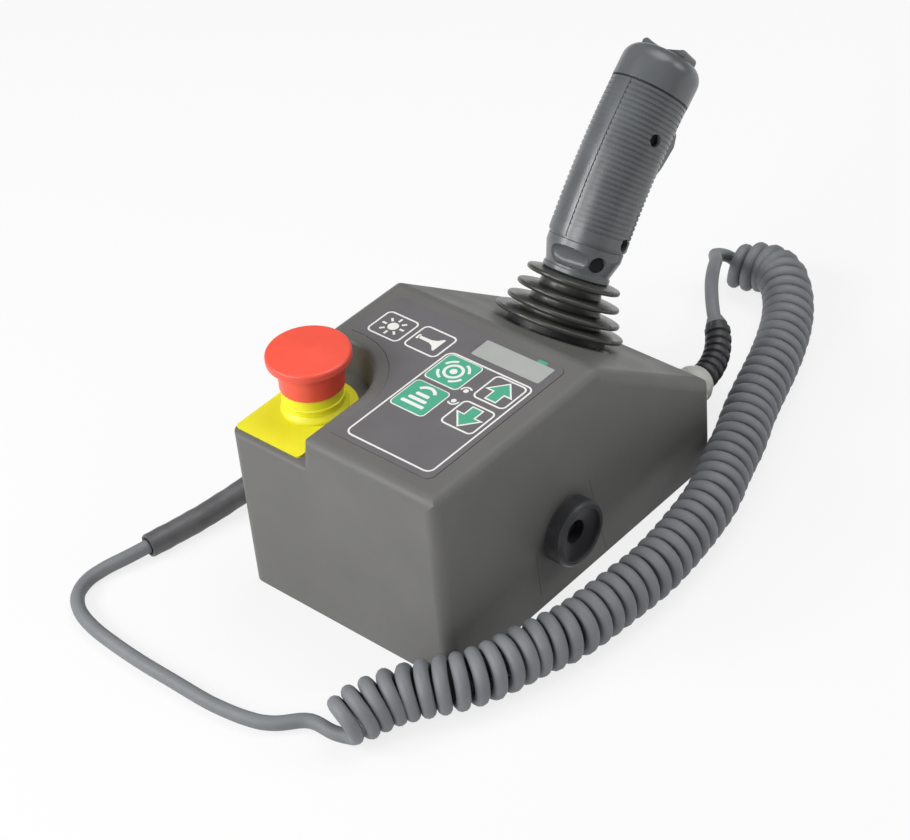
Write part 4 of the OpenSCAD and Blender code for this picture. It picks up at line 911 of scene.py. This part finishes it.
def add_print():
    white = bmesh.new()
    green = bmesh.new()
    outline_box(white, *GROUP_BOX, GROUP_ROUND)
    for x0, y0, x1, y1 in KEYS:
        prism(green, rounded(x0, y0, x1, y1, KEY_ROUND), 0, KEY_T)
        outline_box(white, x0 - KEY_LINE, y0 - KEY_LINE, x1 + KEY_LINE, y1 + KEY_LINE,
                    KEY_LINE_ROUND, KEY_LINE)
    draw_sound_rings(white)
    draw_waves(white)
    draw_arrows(white, green)
    draw_turn_marks(white)
    for box in ICON_BOXES:
        outline_box(white, *box, ICON_ROUND)
    draw_sun(white)
    draw_horn(white)
    prism(green, rounded(*WINDOW_MARK, WINDOW_MARK_ROUND), 0, INK_T)
    add_piece("panel_lines", white, white_ink, "base", on_panel)
    add_piece("panel_keys", green, green_ink, "base", on_panel)


add_print()


# Painted shade of hair-fine creases on the right wall: the (y, z) places of their ends, and half their width
# at the wider end
CREASES = [((3.6, 51.0), (8.6, 24.5)), ((9.2, 22.0), (13.4, 2.0)), ((-36.6, 34.0), (-35.0, 8.0))]
CREASE_HALF = 0.14
CREASE_IN_X = RIGHT_X - 0.2
CREASE_OUT_X = RIGHT_X + 0.03


def add_creases():
    bm = bmesh.new()
    for start, end in CREASES:
        start = Vector(start)
        end = Vector(end)
        way = (end - start).normalized()
        wide = Vector((-way.y, way.x)) * CREASE_HALF
        spots = [start - wide / 2, end - wide, end + wide, start + wide / 2]
        capped_skin(bm, [[bm.verts.new((x, s.x, s.y)) for s in spots] for x in (CREASE_IN_X, CREASE_OUT_X)])
    add_piece("wall_creases", bm, painted_crease_shade, "base")


add_creases()


# Floor, which shows near white to the camera and still takes the object's shadow
FLOOR_REACH = 6000.0
FLOOR_T = 20.0
FLOOR_GREY = 0.8
FLOOR_GLOW_SHARE = 0.8


def floor_paint():
    material = bpy.data.materials.new("floor_white")
    material.use_nodes = True
    tree = material.node_tree
    tree.nodes.remove(tree.nodes["Principled BSDF"])
    paint = add_node(tree, "ShaderNodeBsdfDiffuse", Color=(FLOOR_GREY, FLOOR_GREY, FLOOR_GREY, 1))
    glow = add_node(tree, "ShaderNodeEmission", Color=(1, 1, 1, 1), Strength=1.0)
    path = add_node(tree, "ShaderNodeLightPath")
    seen = add_node(tree, "ShaderNodeMath", operation="MAXIMUM")
    tree.links.new(path.outputs["Is Camera Ray"], seen.inputs[0])
    tree.links.new(path.outputs["Is Glossy Ray"], seen.inputs[1])
    share = add_node(tree, "ShaderNodeMath", operation="MULTIPLY")
    share.inputs[1].default_value = FLOOR_GLOW_SHARE
    tree.links.new(seen.outputs["Value"], share.inputs[0])
    mix = add_node(tree, "ShaderNodeMixShader")
    tree.links.new(share.outputs["Value"], mix.inputs["Fac"])
    tree.links.new(paint.outputs["BSDF"], mix.inputs[1])
    tree.links.new(glow.outputs["Emission"], mix.inputs[2])
    tree.links.new(mix.outputs["Shader"], tree.nodes["Material Output"].inputs["Surface"])
    return material


def add_floor():
    corners = [(-FLOOR_REACH, -FLOOR_REACH), (FLOOR_REACH, -FLOOR_REACH),
               (FLOOR_REACH, FLOOR_REACH), (-FLOOR_REACH, FLOOR_REACH)]
    bm = bmesh.new()
    prism(bm, corners, -FLOOR_T, 0.0)
    floor = add_piece("floor", bm, floor_paint(), None)


# Light: the world's strength on the object, and lamps with place, aim and width in metres and power in watts
WORLD_LIGHT = 0.14
LAMPS = [
    ("key", (-0.88, -0.99, 0.95), (0, 0, 0.05), 0.6, 11.5),
    ("front", (-0.08, -1.36, 0.85), (0, 0, 0.05), 0.9, 12.7),
    ("right", (0.93, 0.85, 0.9), (0, 0, 0.1), 0.7, 3.8),
    ("top", (0.1, 0.5, 1.5), (0, 0, 0), 1.2, 11.5),
]


def add_world():
    """White where it is seen, and dim as a light."""
    world = bpy.data.worlds.new("studio")
    world.use_nodes = True
    tree = world.node_tree
    back = tree.nodes["Background"]
    back.inputs["Color"].default_value = (1, 1, 1, 1)
    path = add_node(tree, "ShaderNodeLightPath")
    seen = add_node(tree, "ShaderNodeMath", operation="MAXIMUM")
    tree.links.new(path.outputs["Is Camera Ray"], seen.inputs[0])
    tree.links.new(path.outputs["Is Transmission Ray"], seen.inputs[1])
    strength = add_node(tree, "ShaderNodeMapRange", To_Min=WORLD_LIGHT, To_Max=1.0)
    tree.links.new(seen.outputs["Value"], strength.inputs["Value"])
    tree.links.new(strength.outputs["Result"], back.inputs["Strength"])
    bpy.context.scene.world = world


def add_lamp(name, place, aim, size, power):
    data = bpy.data.lights.new(name, "AREA")
    data.shape = "DISK"
    data.size = size
    data.energy = power
    lamp = bpy.data.objects.new(name, data)
    place = Vector(place)
    turn = (Vector(aim) - place).to_track_quat("-Z", "Y").to_matrix().to_4x4()
    lamp.matrix_world = Matrix.Translation(place) @ turn
    bpy.context.scene.collection.objects.link(lamp)


add_floor()
add_world()
for lamp in LAMPS:
    add_lamp(*lamp)
bpy.context.scene.view_settings.view_transform = "Standard"
